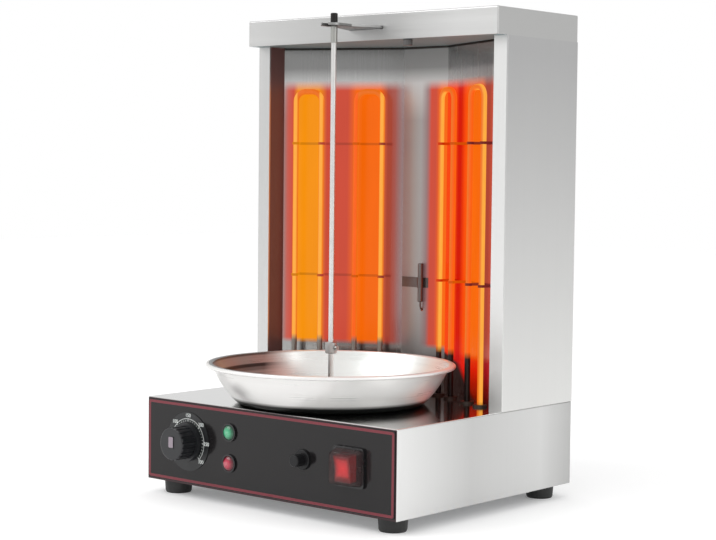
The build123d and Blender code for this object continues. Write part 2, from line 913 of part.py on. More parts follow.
def motor_shaft():
    """The motor's output shaft, which stands in the drive socket."""
    return upright(
        0, 0, motor_top_z - motor_bore_depth + moving_gap,
        socket_bottom_z + motor_shaft_entry, motor_shaft_radius,
    )


def motor_bracket():
    """The folded bracket that hangs the motor from the base top."""
    x = bracket_half_width
    y = bracket_depth / 2
    z = motor_top_z
    top = base_top_z - sheet
    bracket = block(-x, x, -y, y, z, z + bracket_sheet)
    for side in (-1, 1):
        wall = sorted((side * x, side * (x - bracket_sheet)))
        foot = sorted((side * (x - bracket_sheet), side * (x + bracket_flange)))
        bracket += block(wall[0], wall[1], -y, y, z, top)
        bracket += block(foot[0], foot[1], -y, y, top - bracket_sheet, top)
        bracket -= upright(side * motor_screw_x(), 0, z - 1, z + 2 * bracket_sheet, screw_hole_radius)
    return bracket - upright(0, 0, z - 1, z + 2 * bracket_sheet, motor_boss_radius + screw_gap)


def support_arm():
    """The flat arm: a notched nose round the spit, a tapered neck, and a wide tail in its rails."""
    neck_end = cap_front_y - arm_taper_margin
    tail_front = cap_front_y + sheet + moving_gap * 2
    tail_back = tail_front + arm_tail_length
    outline = [
        (-arm_nose_radius, -arm_nose_reach),
        (arm_nose_radius, -arm_nose_reach),
        (arm_nose_radius, arm_taper_start),
        (arm_width / 2, neck_end),
        (arm_width / 2, tail_front),
        (arm_tail_half_width, tail_front),
        (arm_tail_half_width, tail_back),
        (-arm_tail_half_width, tail_back),
        (-arm_tail_half_width, tail_front),
        (-arm_width / 2, tail_front),
        (-arm_width / 2, neck_end),
        (-arm_nose_radius, arm_taper_start),
    ]
    arm = prism(outline, arm_bottom_z, arm_top_z)
    arm += upright(0, -arm_nose_reach, arm_bottom_z, arm_top_z, arm_nose_radius)
    notch = ferrule_radius + arm_notch_gap
    arm -= upright(0, 0, arm_bottom_z - 1, arm_top_z + 1, notch)
    return arm - block(
        -notch, notch, -arm_nose_reach - 2 * arm_nose_radius, 0, arm_bottom_z - 1, arm_top_z + 1
    )


def arm_rails():
    """The two grooved rails on the roof plate in which the arm's tail slides."""
    rails = []
    y0 = cap_front_y + sheet
    y1 = y0 + arm_tail_length + arm_travel + 4 * moving_gap + rail_wall
    z0 = cap_bottom_z + sheet
    z1 = arm_top_z + moving_gap + rail_wall
    groove_x = arm_tail_half_width + moving_gap
    for side in (-1, 1):
        inner = side * (groove_x - rail_cover)
        outer = side * (groove_x - rail_cover + rail_width)
        rail = block(min(inner, outer), max(inner, outer), y0, y1, z0, z1)
        groove = sorted((inner - side, side * groove_x))
        rail -= block(
            groove[0], groove[1], y0 - 1, y1 - rail_wall,
            arm_bottom_z - moving_gap, arm_top_z + moving_gap,
        )
        rails.append(rail)
    return Compound(children=rails)


def thumb_screw():
    """The knurled screw under the roof plate that locks the support arm."""
    head_top = cap_bottom_z - moving_gap
    head = upright(0, 0, head_top - thumb_head_height, head_top, thumb_head_radius)
    head = chamfer(head.edges().filter_by(GeomType.CIRCLE), thumb_bevel)
    for step in range(thumb_grooves):
        head -= Rot(Z=step * 360 / thumb_grooves) * upright(
            thumb_head_radius + thumb_groove_offset, 0,
            head_top - thumb_head_height - 1, head_top + 1, thumb_groove_radius,
        )
    shank = upright(0, 0, head_top - 1, arm_bottom_z - moving_gap, thumb_shank_radius)
    return Pos(thumb_x, thumb_y, 0) * (head + shank)


def dial_ring():
    """The round scale plate behind the thermostat knob."""
    face = panel_face_y
    ring = along_y(thermostat_x, control_z, face - dial_thickness, face, dial_radius)
    return ring - along_y(
        thermostat_x, control_z, face - 2 * dial_thickness, face + 1, thermostat_boss_radius + screw_gap
    )


def thermostat_body():
    """The thermostat's case, its threaded boss and the bore of its stem."""
    y0 = front_y + sheet
    body = block(
        thermostat_x - thermostat_width / 2, thermostat_x + thermostat_width / 2,
        y0, y0 + thermostat_depth,
        control_z - thermostat_height / 2, control_z + thermostat_height / 2,
    )
    body = fillet(body.edges().filter_by(Axis.Y), thermostat_round)
    boss_front = panel_face_y - dial_thickness - knob_gap()
    body += along_y(thermostat_x, control_z, boss_front + moving_gap, y0 + 1, thermostat_boss_radius)
    return body - along_y(
        thermostat_x, control_z, boss_front - 1, y0 + thermostat_bore_depth, stem_radius + running_gap
    )


def knob_gap():
    """How far the knob stands off the dial."""
    return 2 * moving_gap


def thermostat_stem():
    """The thermostat's stem, with the flat that turns with the knob."""
    y_back = front_y + sheet + thermostat_bore_depth - moving_gap
    y_front = knob_back_y() - knob_depth + knob_wall + moving_gap
    stem = along_y(0, 0, y_front, y_back, stem_radius)
    flat_y = knob_back_y() - knob_gap()
    stem -= block(
        -stem_radius, stem_radius, y_front - 1, flat_y, stem_radius - stem_flat, stem_radius + 1
    )
    return Pos(thermostat_x, 0, control_z) * stem


def knob_back_y():
    """The plane of the knob's back face."""
    return panel_face_y - dial_thickness - knob_gap()


def thermostat_knob():
    """The round knob: a skirt, a fluted grip, a raised pointer, and a bore with a flat."""
    y0 = knob_back_y()
    y1 = y0 - knob_depth
    grip_start = y0 - knob_skirt
    knob = along_y(0, 0, grip_start, y0, knob_radius)
    grip = along_y(0, 0, y1, grip_start, knob_nose_radius)
    grip = fillet(grip.edges().filter_by(GeomType.CIRCLE).sort_by(Axis.Y)[0], knob_nose_round)
    for step in range(knob_flutes):
        turn = 360 / knob_flutes * (step + 0.5)
        grip -= Rot(Y=turn) * along_y(
            knob_nose_radius + knob_flute_offset, 0, y1 - 1, grip_start, knob_flute_radius
        )
    knob += grip
    knob += block(
        -knob_pointer_width / 2, knob_pointer_width / 2,
        y1 - knob_pointer_rise, y1 + 1,
        knob_pointer_start, knob_pointer_end,
    )
    hollow_front = y1 + knob_wall
    hollow = along_y(0, 0, hollow_front, y0 + 1, knob_nose_radius - knob_wall)
    hollow -= along_y(0, 0, hollow_front - 1, y0 + 2, stem_radius + knob_wall)
    knob -= hollow
    bore = along_y(0, 0, hollow_front, y0 + 1, stem_radius + running_gap)
    flat_y = y0 - knob_gap()
    bore -= block(
        -stem_radius - 1, stem_radius + 1, hollow_front - 1, flat_y - moving_gap,
        stem_radius - stem_flat + running_gap, stem_radius + 1,
    )
    knob -= bore
    return Pos(thermostat_x, 0, control_z) * knob


def capillary_y():
    """Where the sensor's tube rises behind the centre wall."""
    return wall_back.Y + reflector_sheet + capillary_loop


def bulb_bottom_z():
    """The bulb's lower end."""
    return base_top_z + bulb_level - bulb_length / 2


def capillary_entry_z():
    """The level at which the sensor's tube passes through the centre wall."""
    return bulb_bottom_z() - capillary_loop


def bulb_y():
    """The plane of the bulb's axis, against the centre wall."""
    return wall_back.Y - bulb_radius - running_gap


def sensor_bulb():
    """The thermostat's bulb, upright on the centre wall, drilled for its tube."""
    z0 = bulb_bottom_z()
    bulb = upright(bulb_x, bulb_y(), z0, z0 + bulb_length, bulb_radius)
    bulb = fillet(bulb.edges().filter_by(GeomType.CIRCLE), bulb_round)
    return bulb - upright(bulb_x, bulb_y(), z0 - 1, z0 + bulb_bore_depth, capillary_radius + running_gap)


def capillary_tube():
    """The thin tube from the thermostat to the bulb, along straight runs and bends."""
    run_z = base_bottom_z + capillary_run_height
    start_y = front_y + sheet + thermostat_depth
    start_z = control_z
    rear_y = capillary_y()
    path = FilletPolyline(
        (thermostat_x, start_y, start_z),
        (thermostat_x, start_y + 3 * capillary_bend, start_z),
        (thermostat_x, start_y + 3 * capillary_bend, run_z),
        (thermostat_x, rear_y, run_z),
        (bulb_x, rear_y, run_z),
        (bulb_x, rear_y, capillary_entry_z()),
        (bulb_x, bulb_y(), capillary_entry_z()),
        (bulb_x, bulb_y(), bulb_bottom_z() + bulb_bore_depth - 1),
        radius=capillary_bend,
    )
    start = Plane(origin=(thermostat_x, start_y, start_z), z_dir=(0, 1, 0))
    section = start * Circle(capillary_radius)
    return sweep(section, path=path)


def bulb_clip():
    """The strap that holds the bulb: a foot each side and a bridge over the bulb."""
    z = base_top_z + bulb_level
    z0 = z - clip_height / 2
    z1 = z + clip_height / 2
    y = wall_back.Y
    inner = bulb_radius + running_gap
    outer = inner + clip_sheet
    bridge = upright(bulb_x, bulb_y(), z0, z1, outer)
    bridge += block(bulb_x - outer, bulb_x + outer, bulb_y(), y, z0, z1)
    left = bulb_x - outer - clip_left_foot
    right = bulb_x + outer + clip_right_foot
    bridge += block(left, right, y - clip_sheet, y, z0, z1)
    bridge -= upright(bulb_x, bulb_y(), z0 - 1, z1 + 1, inner)
    bridge -= block(bulb_x - inner, bulb_x + inner, bulb_y(), y + 1, z0 - 1, z1 + 1)
    return bridge


def lamp_body(height):
    """A lamp's bezel and barrel, hollow for its lens."""
    z = base_bottom_z + height
    face = panel_face_y
    body = along_y(lamp_x, z, face - lamp_bezel_height, face, lamp_bezel_radius)
    body += along_y(lamp_x, z, face, face + lamp_barrel_length, lamp_barrel_radius)
    body -= along_y(
        lamp_x, z, face - lamp_bezel_height - 1, face - lamp_web, lamp_lens_radius + running_gap
    )
    return body - along_y(lamp_x, z, face - 1, face + lamp_lens_seat, lamp_bore_radius)


def lamp_lens(height):
    """A lamp's domed lens, with a spigot in the barrel."""
    z = base_bottom_z + height
    face = panel_face_y
    lens = along_y(lamp_x, z, face - lamp_web - lamp_lens_rise, face - lamp_web, lamp_lens_radius)
    lens = fillet(lens.edges().filter_by(GeomType.CIRCLE).sort_by(Axis.Y)[0], lamp_lens_round)
    return lens + along_y(
        lamp_x, z, face - lamp_web, face + lamp_lens_seat - running_gap, lamp_bore_radius - running_gap
    )


def button_body():
    """The push button's bezel and barrel, bored for the cap and its stem."""
    face = panel_face_y
    end = face + button_barrel_length
    body = along_y(button_x, control_z, face - button_bezel_height, face, button_bezel_radius)
    body = fillet(body.edges().filter_by(GeomType.CIRCLE).sort_by(Axis.Y)[0], button_bezel_round)
    body += along_y(button_x, control_z, face, end, button_barrel_radius)
    body -= along_y(
        button_x, control_z, face - button_bezel_height - 1, button_floor_y(), button_radius + running_gap
    )
    return body - along_y(
        button_x, control_z, button_floor_y() - 1, end - button_wall, button_stem_radius + running_gap
    )


def button_floor_y():
    """The floor of the button's bore, on which its spring stands."""
    return panel_face_y + button_bore_depth


def button_head_y():
    """The back face of the button's head at rest, clear of the spring's stroke."""
    return panel_face_y + button_stroke


def button_cap():
    """The button's head, and the stem that guides it."""
    front = panel_face_y - button_bezel_height - button_rise
    head = along_y(button_x, control_z, front, button_head_y(), button_radius)
    head = fillet(head.edges().filter_by(GeomType.CIRCLE).sort_by(Axis.Y)[0], button_round)
    stem_end = panel_face_y + button_barrel_length - button_wall - button_stroke - moving_gap
    return head + along_y(button_x, control_z, button_head_y() - 1, stem_end, button_stem_radius)


def button_spring():
    """The return spring round the button's stem, as a plain sleeve of its outer size."""
    y0 = button_head_y() + moving_gap / 3
    y1 = button_floor_y() - moving_gap / 3
    sleeve = along_y(button_x, control_z, y0, y1, spring_outer_radius)
    return sleeve - along_y(button_x, control_z, y0 - 1, y1 + 1, spring_outer_radius - spring_wall)


def rocker_pivot_y():
    """The plane of the rocker's pins."""
    return panel_face_y - switch_bezel_height / 2


def square_y(size, y0, y1, corner):
    """A square bar front to back at the switch, with rounded edges."""
    bar = block(
        switch_x - size / 2, switch_x + size / 2, y0, y1, control_z - size / 2, control_z + size / 2
    )
    return fillet(bar.edges().filter_by(Axis.Y), corner)


def switch_frame():
    """The switch's black bezel and case, with a pocket and pin holes for the rocker."""
    face = panel_face_y
    frame = square_y(switch_bezel, face - switch_bezel_height, face, hood_corner)
    frame += square_y(switch_body, face, face + switch_body_depth, 1)
    x = rocker_width / 2 + moving_gap
    z = rocker_length / 2 + rocker_pocket_gap
    frame -= block(
        switch_x - x, switch_x + x, face - switch_bezel_height - 1, face + switch_pocket_depth,
        control_z - z, control_z + z,
    )
    pin = rocker_width / 2 + rocker_pin_reach + moving_gap
    return frame - along_x(
        rocker_pivot_y(), control_z, switch_x - pin, switch_x + pin, rocker_pin_radius + running_gap
    )


def rocker():
    """The lit red rocker: two facets that meet at its middle, on two pins, tipped to ON."""
    half = rocker_length / 2
    rise = rocker_rise + switch_bezel_height / 2
    dip = rise - math.tan(math.radians(rocker_angle)) * half
    outline = [
        (-half, -rocker_depth),
        (-half, rise),
        (0, dip),
        (half, rise),
        (half, -rocker_depth),
    ]
    side = make_face(Polyline(*outline, close=True))
    body = extrude(side, amount=rocker_width / 2, dir=(0, 0, 1), both=True)
    lay = Plane(origin=(0, 0, 0), x_dir=(0, 0, 1), z_dir=(1, 0, 0))
    body = lay.location * body
    pin = rocker_width / 2 + rocker_pin_reach
    body += along_x(0, 0, -pin, pin, rocker_pin_radius)
    return Pos(switch_x, rocker_pivot_y(), control_z) * Rot(X=rocker_angle) * body


def tapered_hood(inset, y_front, y_back):
    """A bar that narrows from the hood's square foot to its oblong front, smaller by an inset."""
    corner = hood_corner - inset
    outlines = []
    for y, width, height in (
        (y_back, hood_size, hood_size),
        (y_front, hood_front_width, hood_front_height),
    ):
        plane = Plane(origin=(switch_x, y, control_z), x_dir=(1, 0, 0), z_dir=(0, -1, 0))
        outlines.append(plane * RectangleRounded(width - 2 * inset, height - 2 * inset, corner))
    return loft(outlines)


def switch_hood():
    """The soft clear hood over the rocker, open at its back."""
    back = panel_face_y - switch_bezel_height
    front = back - hood_rise
    hood = tapered_hood(0, front, back)
    hood = fillet(hood.faces().sort_by(Axis.Y)[0].edges(), hood_round)
    return hood - tapered_hood(hood_wall, front + hood_wall, back)


def terminal_block():
    """The ceramic terminal block on the base plate."""
    z0 = base_bottom_z + sheet
    body = block(
        terminal_x - terminal_length / 2, terminal_x + terminal_length / 2,
        terminal_y - terminal_width / 2, terminal_y + terminal_width / 2,
        z0, z0 + terminal_height,
    )
    body = fillet(body.edges().filter_by(Axis.Z), terminal_round)
    pitch = terminal_length / terminal_ways
    for way in range(terminal_ways):
        x = terminal_x + (way - (terminal_ways - 1) / 2) * pitch
        top = z0 + terminal_height
        body -= upright(x, terminal_y, top - terminal_screw_depth, top + 1, terminal_screw_radius)
    return body


def hexagon_y(x, z, y0, y1, radius):
    """A hexagonal bar front to back."""
    corners = RegularPolygon(radius, 6)
    return Pos(x, y1, z) * Rot(X=90) * extrude(corners, amount=y1 - y0, dir=(0, 0, 1))


def cable_gland():
    """The cord's inlet: thread, hexagon and clamping dome, with the cord's bore right through."""
    z = base_bottom_z + gland_height
    hex_end = back_y + gland_hex_length
    dome_end = hex_end + gland_dome_length
    gland = hexagon_y(gland_x, z, back_y, hex_end, gland_hex_radius)
    dome = along_y(gland_x, z, hex_end, dome_end, gland_dome_radius)
    gland += fillet(dome.edges().filter_by(GeomType.CIRCLE).sort_by(Axis.Y)[-1], gland_dome_round)
    gland += along_y(gland_x, z, back_y - sheet - gland_thread_length, back_y, gland_thread_radius)
    return gland - along_y(
        gland_x, z, back_y - sheet - gland_thread_length - 1, dome_end + 1, gland_bore_radius
    )


def gland_locknut():
    """The nut that holds the gland from inside the base."""
    z = base_bottom_z + gland_height
    nut = hexagon_y(gland_x, z, back_y - sheet - locknut_length, back_y - sheet, gland_hex_radius)
    return nut - along_y(
        gland_x, z, back_y - sheet - locknut_length - 1, back_y, gland_thread_radius + running_gap
    )


parts = {
    "base_housing": base_housing(),
    "base_plate": base_plate(),
    "control_panel": control_panel(),
    "right_side_panel": right_side_panel(),
    "left_side_panel": to_left(right_side_panel()),
    "back_panel": back_panel(),
    "top_cap": top_cap(),
    "roof_plate": roof_plate(),
    "right_reflector": right_reflector(),
    "left_reflector": to_left(right_reflector()),
    "centre_reflector": centre_reflector(),
    "heater_bushes": heater_bushes(),
    "right_heater_strips": heater_strips(1),
    "left_heater_strips": heater_strips(-1),
    "drip_pan": drip_pan(),
    "spit_rod": spit_rod(),
    "spit_ferrule": spit_ferrule(),
    "spit_sleeve": spit_sleeve(),
    "spit_collar": spit_collar(),
    "collar_screw": collar_screw(),
    "drive_socket": drive_socket(),
    "drive_bush": drive_bush(),
    "motor_case": motor_case(),
    "motor_shaft": motor_shaft(),
    "motor_bracket": motor_bracket(),
    "support_arm": support_arm(),
    "arm_rails": arm_rails(),
    "thumb_screw": thumb_screw(),
    "dial_ring": dial_ring(),
    "thermostat_body": thermostat_body(),
    "thermostat_stem": thermostat_stem(),
    "thermostat_knob": thermostat_knob(),
    "sensor_bulb": sensor_bulb(),
    "capillary_tube": capillary_tube(),
    "bulb_clip": bulb_clip(),
    "green_lamp_body": lamp_body(green_lamp_height),
    "green_lamp_lens": lamp_lens(green_lamp_height),
    "red_lamp_body": lamp_body(red_lamp_height),
    "red_lamp_lens": lamp_lens(red_lamp_height),
    "button_body": button_body(),
    "button_cap": button_cap(),
    "button_spring": button_spring(),
    "switch_frame": switch_frame(),
    "rocker": rocker(),
    "switch_hood": switch_hood(),
    "terminal_block": terminal_block(),
    "cable_gland": cable_gland(),
    "gland_locknut": gland_locknut(),
    "foot_screws": foot_screws(),
    "housing_screws": housing_screws(),
    "frame_screws": frame_screws(),
}
for side, side_name in ((-1, "left"), (1, "right")):
    for place, place_name in zip(heater_places, ("front", "rear")):
        parts[side_name + "_" + place_name + "_heater"] = heater_loop(side, place)
for corner, (x, y) in foot_points().items():
    parts["foot_" + corner] = rubber_foot(x, y)

os.makedirs("parts", exist_ok=True)
for node, solid in parts.items():
    export_step(solid, os.path.join("parts", node + ".step"))
print(len(parts), "sub-parts written")
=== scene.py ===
"""Looks of an upright kebab grill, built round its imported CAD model.

The file is laid out as an add-on and runs as a script. The CAD nodes keep their meshes and get
node-based finishes. The pieces that need more detail are surfaces worked out with numpy. Lengths are
in metres in the model's own frame: the origin is on the spit's axis at the worktop, +Z is up,
-Y is the front and +X is the right side seen from the front.
"""

import math

import bmesh
import bpy
import numpy as np
from mathutils import Matrix, Vector


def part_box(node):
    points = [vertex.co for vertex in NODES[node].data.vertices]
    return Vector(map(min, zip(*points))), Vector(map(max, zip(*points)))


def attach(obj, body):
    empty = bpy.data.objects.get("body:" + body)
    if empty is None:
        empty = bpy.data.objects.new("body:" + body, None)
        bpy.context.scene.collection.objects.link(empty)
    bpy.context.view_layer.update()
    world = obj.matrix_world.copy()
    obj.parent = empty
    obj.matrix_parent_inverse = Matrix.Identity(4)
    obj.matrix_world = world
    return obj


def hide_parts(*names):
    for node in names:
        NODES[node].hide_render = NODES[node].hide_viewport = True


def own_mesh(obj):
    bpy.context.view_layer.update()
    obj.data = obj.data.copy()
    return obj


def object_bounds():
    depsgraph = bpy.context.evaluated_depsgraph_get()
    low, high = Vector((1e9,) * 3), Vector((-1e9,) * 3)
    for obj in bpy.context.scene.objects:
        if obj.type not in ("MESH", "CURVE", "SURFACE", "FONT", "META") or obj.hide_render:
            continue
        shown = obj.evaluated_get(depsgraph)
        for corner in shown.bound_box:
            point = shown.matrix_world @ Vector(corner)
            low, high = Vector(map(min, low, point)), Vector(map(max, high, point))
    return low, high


bl_info = {
    "name": "Upright Kebab Grill",
    "version": (1, 0, 0),
    "blender": (4, 5, 0),
    "location": "View3D > Sidebar > Kebab Grill",
    "description": "Finishes and detailed pieces for an upright kebab grill, on its CAD model",
    "category": "Object",
}

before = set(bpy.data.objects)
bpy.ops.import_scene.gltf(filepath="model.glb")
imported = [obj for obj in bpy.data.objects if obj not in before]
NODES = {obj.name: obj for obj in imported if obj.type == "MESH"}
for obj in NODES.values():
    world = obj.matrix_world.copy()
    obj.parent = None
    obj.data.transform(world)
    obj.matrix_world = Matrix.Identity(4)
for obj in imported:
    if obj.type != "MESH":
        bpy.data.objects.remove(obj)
CAD_BOX = [list(corner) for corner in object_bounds()]

MM = 0.001
TURN = 2 * math.pi

# The faces that a finish sets apart: the base's ends and top, and the sides of base, tower and cap.
BASE_LOW, BASE_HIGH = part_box("base_housing")
BASE_FRONT, BASE_BACK, BASE_TOP = BASE_LOW[1], BASE_HIGH[1], BASE_HIGH[2]
WALL_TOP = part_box("centre_reflector")[1][2]
SIDE = CAD_BOX[1][0]

# The right side wall of the roasting space, seen from above: its front end and its direction backwards.
# The left one is its mirror image. The loops' middles are at these distances along a wall.
WALL_FRONT = np.array((0.167, 0.098))
WALL_LENGTH = math.hypot(0.134, 0.066)
WALL_ALONG = np.array((-0.134, 0.066)) / WALL_LENGTH
LOOP_PLACES = (0.0365, 0.1115)
LOOP_HALF_WIDTH = 0.016


def linear(red, green, blue):
    """A colour in screen values from 0 to 255, as the linear values that Blender keeps.

    Each value is divided by 255, then by 12.92 if it is small, or else raised to the power 2.4.
    """
    screen = np.array((red, green, blue)) / 255
    values = np.where(screen <= 0.04045, screen / 12.92, ((screen + 0.055) / 1.055) ** 2.4)
    return tuple(float(value) for value in values)


def scaled(colour, share):
    """A colour made darker or lighter by a share, at most 1."""
    return tuple(min(1.0, value * share) for value in colour)


def box_of(node):
    """The lowest and highest corners of a CAD node, as numpy arrays."""
    low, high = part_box(node)
    return np.array(low), np.array(high)


# ---------------------------------------------------------------- settings


def colour_setting(name, description, default):
    return bpy.props.FloatVectorProperty(
        name=name, description=description, default=default, size=3, min=0, max=1, subtype="COLOR"
    )


def length_setting(name, description, default):
    return bpy.props.FloatProperty(
        name=name, description=description, default=default, unit="LENGTH", subtype="DISTANCE", precision=4
    )


def share_setting(name, description, default):
    return bpy.props.FloatProperty(
        name=name, description=description, default=default, min=0, max=1, subtype="FACTOR"
    )


def level_setting(name, description, default):
    return bpy.props.FloatProperty(name=name, description=description, default=default, min=0)


def angle_setting(name, description, degrees):
    return bpy.props.FloatProperty(
        name=name, description=description, default=math.radians(degrees), unit="ROTATION", subtype="ANGLE"
    )


class SteelSettings(bpy.types.PropertyGroup):
    """Sheet metal of the base, tower and cap."""

    body_colour: colour_setting("Body colour", "Brushed steel of the shells", linear(224, 224, 223))
    body_roughness: share_setting("Body roughness", "Spread of the shells' reflections", 0.34)
    top_roughness: share_setting("Top roughness", "Spread of the base top's reflections", 0.12)
    line_density: level_setting("Line density", "Brush lines per metre across the grain", 700.0)
    wall_colour: colour_setting("Wall colour", "Polished steel of the walls", linear(184, 184, 183))
    wall_roughness: share_setting("Wall roughness", "Spread of the side walls' reflections", 0.22)


class HeatSettings(bpy.types.PropertyGroup):
    """Tube heaters and the glow on the walls behind them."""

    tube_colour: colour_setting("Tube colour", "Light of the brightest legs", linear(255, 174, 66))
    inner_colour: colour_setting("Inner colour", "Light of the legs between the loops", linear(252, 98, 16))
    edge_colour: colour_setting("Edge colour", "Light of the tubes' flanks", linear(236, 112, 24))
    tube_strength: level_setting("Tube strength", "How bright the hot tubes are", 1.0)
    tube_radius: length_setting("Tube radius", "Radius of the heater tubes", 3.25 * MM)
    bend_radius: length_setting("Bend radius", "Radius of the tubes' bends, on their centre line", 12 * MM)
    standoff: length_setting("Standoff", "Distance of the tubes' centre line from the wall", 18 * MM)
    glow_strength: level_setting("Glow strength", "How bright the glow on the walls is", 1.0)


class PanSettings(bpy.types.PropertyGroup):
    """The drip pan."""

    colour: colour_setting("Colour", "Spun aluminium of the pan", linear(240, 239, 237))
    roughness: share_setting("Roughness", "Spread of the pan's reflections", 0.3)
    rim_radius: length_setting("Rim radius", "Outside radius of the rolled rim", 140 * MM)
    heel_radius: length_setting("Heel radius", "Radius where the floor turns up into the wall", 103 * MM)
    height: length_setting("Height", "Height of the pan", 45 * MM)
    bead_radius: length_setting("Bead radius", "Radius of the rim's rolled bead", 2.1 * MM)
    wall: length_setting("Wall", "Thickness of the pan's sheet", 1 * MM)
    hub_radius: length_setting("Hub radius", "Outside radius of the hub round the drive", 15 * MM)
    hub_height: length_setting("Hub height", "Height of the hub over the base", 24 * MM)


class ControlSettings(bpy.types.PropertyGroup):
    """The control panel and what stands on it."""

    panel_colour: colour_setting("Panel colour", "Charcoal of the control panel", (0.010, 0.009, 0.0095))
    border_colour: colour_setting("Border colour", "Red line round the panel", linear(116, 36, 48))
    border_width: length_setting("Border width", "Width of the red line", 3.0 * MM)
    border_inset: length_setting("Border inset", "From the panel's edge to the red line", 1.0 * MM)
    scale_colour: colour_setting("Scale colour", "Ticks and numbers of the dial", linear(240, 246, 242))
    scale_radius: length_setting("Scale radius", "Radius of the numbers' centres", 29.4 * MM)
    number_size: length_setting("Number size", "Height of the dial's printed numbers", 5.8 * MM)
    knob_colour: colour_setting("Knob colour", "Moulded black of the knob", (0.011, 0.012, 0.014))
    pointer_colour: colour_setting("Pointer colour", "Pale plate on the knob", linear(146, 134, 144))
    green_colour: colour_setting("Green lamp colour", "Lens of the green lamp", linear(70, 168, 122))
    red_colour: colour_setting("Red lamp colour", "Lens of the red lamp", linear(176, 44, 68))
    rocker_colour: colour_setting("Rocker colour", "Lit rocker of the power switch", linear(214, 46, 50))
    button_colour: colour_setting("Button colour", "Moulded black of the bezels", (0.010, 0.010, 0.011))


class StageSettings(bpy.types.PropertyGroup):
    """Floor, lights and camera."""

    camera_place: bpy.props.FloatVectorProperty(
        name="Camera place", description="Where the camera stands", default=(1.29604, -1.45560, 0.37019),
        size=3, unit="LENGTH", subtype="TRANSLATION",
    )
    azimuth: angle_setting("Azimuth", "Camera's turn to the right of the front", 40.819)
    elevation: angle_setting("Elevation", "Camera's downward tilt", 3.260)
    roll: angle_setting("Roll", "Camera's turn about its own line of sight", 0.606)
    lens: bpy.props.FloatProperty(
        name="Lens", description="Focal length in millimetres on a 36 mm wide picture", default=87.89
    )
    floor_colour: colour_setting("Floor colour", "Plain floor under the grill", (0.90, 0.90, 0.90))
    floor_glow: level_setting("Floor glow", "White that the floor adds for rays that see it", 0.17)
    sky_level: level_setting("Sky level", "Even light from all round", 0.92)
    key_power: level_setting("Key power", "Watts of the large soft light at the front left", 42.0)
    side_power: level_setting("Side power", "Watts of the soft light on the right", 14.0)


# ---------------------------------------------------------------- meshes


def grid_faces(rows, columns, close_rows=False, close_columns=False):
    """Four-sided faces between neighbours of a grid of points that is stored row by row.

    Point (i, j) has the number i * columns + j. A closed direction joins its last line to its first.
    """
    i = np.arange(rows if close_rows else rows - 1)[:, None]
    j = np.arange(columns if close_columns else columns - 1)[None, :]
    next_i = (i + 1) % rows
    next_j = (j + 1) % columns
    corners = (i * columns + j, i * columns + next_j, next_i * columns + next_j, next_i * columns + j)
    return np.stack([np.broadcast_to(c, (i.size, j.size)) for c in corners], axis=-1).reshape(-1, 4)


def new_piece(name, points, faces, smooth=True, tidy=True):
    """A mesh object at the origin, from points and faces worked out as arrays.

    If it is to be tidied, doubles are merged and normals turned outwards, so poles and seams are closed.
    """
    mesh = bpy.data.meshes.new(name)
    mesh.from_pydata(np.asarray(points, float).reshape(-1, 3).tolist(), [], [list(f) for f in faces])
    mesh.update()
    piece = bpy.data.objects.new(name, mesh)
    bpy.context.scene.collection.objects.link(piece)
    if tidy:
        shape = bmesh.new()
        shape.from_mesh(mesh)
        bmesh.ops.remove_doubles(shape, verts=shape.verts, dist=1e-7)
        bmesh.ops.recalc_face_normals(shape, faces=shape.faces)
        shape.to_mesh(mesh)
        shape.free()
    if smooth:
        mesh.polygons.foreach_set("use_smooth", np.ones(len(mesh.polygons), bool))
    return piece


def sharpen(piece, degrees):
    """Keeps the piece's edges crisp where its faces meet at more than this angle."""
    piece.data.set_sharp_from_angle(angle=math.radians(degrees))


def turned(name, profile, centre, axis="Z", steps=96):
    """A lathe shape: point (i, j) is the profile's radius i at the angle j round an axis, at its height i.

    The profile is a closed line of (radius, height) pairs, both from the centre.
    """
    profile = np.asarray(profile, float)
    angle = np.linspace(0, TURN, steps, endpoint=False)
    across = profile[:, :1] * np.cos(angle)
    up = profile[:, :1] * np.sin(angle)
    along = np.broadcast_to(profile[:, 1:], across.shape)
    points = np.stack((across, up, along) if axis == "Z" else (across, along, up), axis=-1)
    faces = grid_faces(len(profile), steps, close_rows=True, close_columns=True)
    return new_piece(name, points + np.asarray(centre, float), faces)


def arc(centre, radius, start, end, count):
    """Points on a circle's arc in a plane: the centre plus the radius times (cosine, sine) of the angle."""
    angle = np.radians(np.linspace(start, end, count))
    return np.stack((centre[0] + radius * np.cos(angle), centre[1] + radius * np.sin(angle)), axis=-1)


def ring_tube(path, first, second, radius, sides):
    """Points and faces of a round tube about a path of points.

    Ring i is the path's point i plus the radius times (cosine times the first direction plus sine times
    the second). The first and last rings have no radius, which closes the ends.
    """
    angle = np.linspace(0, TURN, sides, endpoint=False)[None, :, None]
    reach = np.full((len(path), 1, 1), radius)
    reach[0] = reach[-1] = 0
    points = path[:, None, :] + reach * (np.cos(angle) * first + np.sin(angle) * second)
    return points.reshape(-1, 3), grid_faces(len(path), sides, close_columns=True)


def tube(path, radius, side, sides=20):
    """A round tube along a path that lies in one plane, whose normal is the given side.

    A ring's second direction is at right angles to the path and to that normal.
    """
    direction = np.gradient(path, axis=0)
    direction /= np.linalg.norm(direction, axis=1, keepdims=True)
    across = np.cross(direction, side)
    across /= np.linalg.norm(across, axis=1, keepdims=True)
    path = np.concatenate((path[:1], path, path[-1:]))
    across = np.concatenate((across[:1], across, across[-1:]))
    return ring_tube(path, np.asarray(side, float), across[:, None, :], radius, sides)


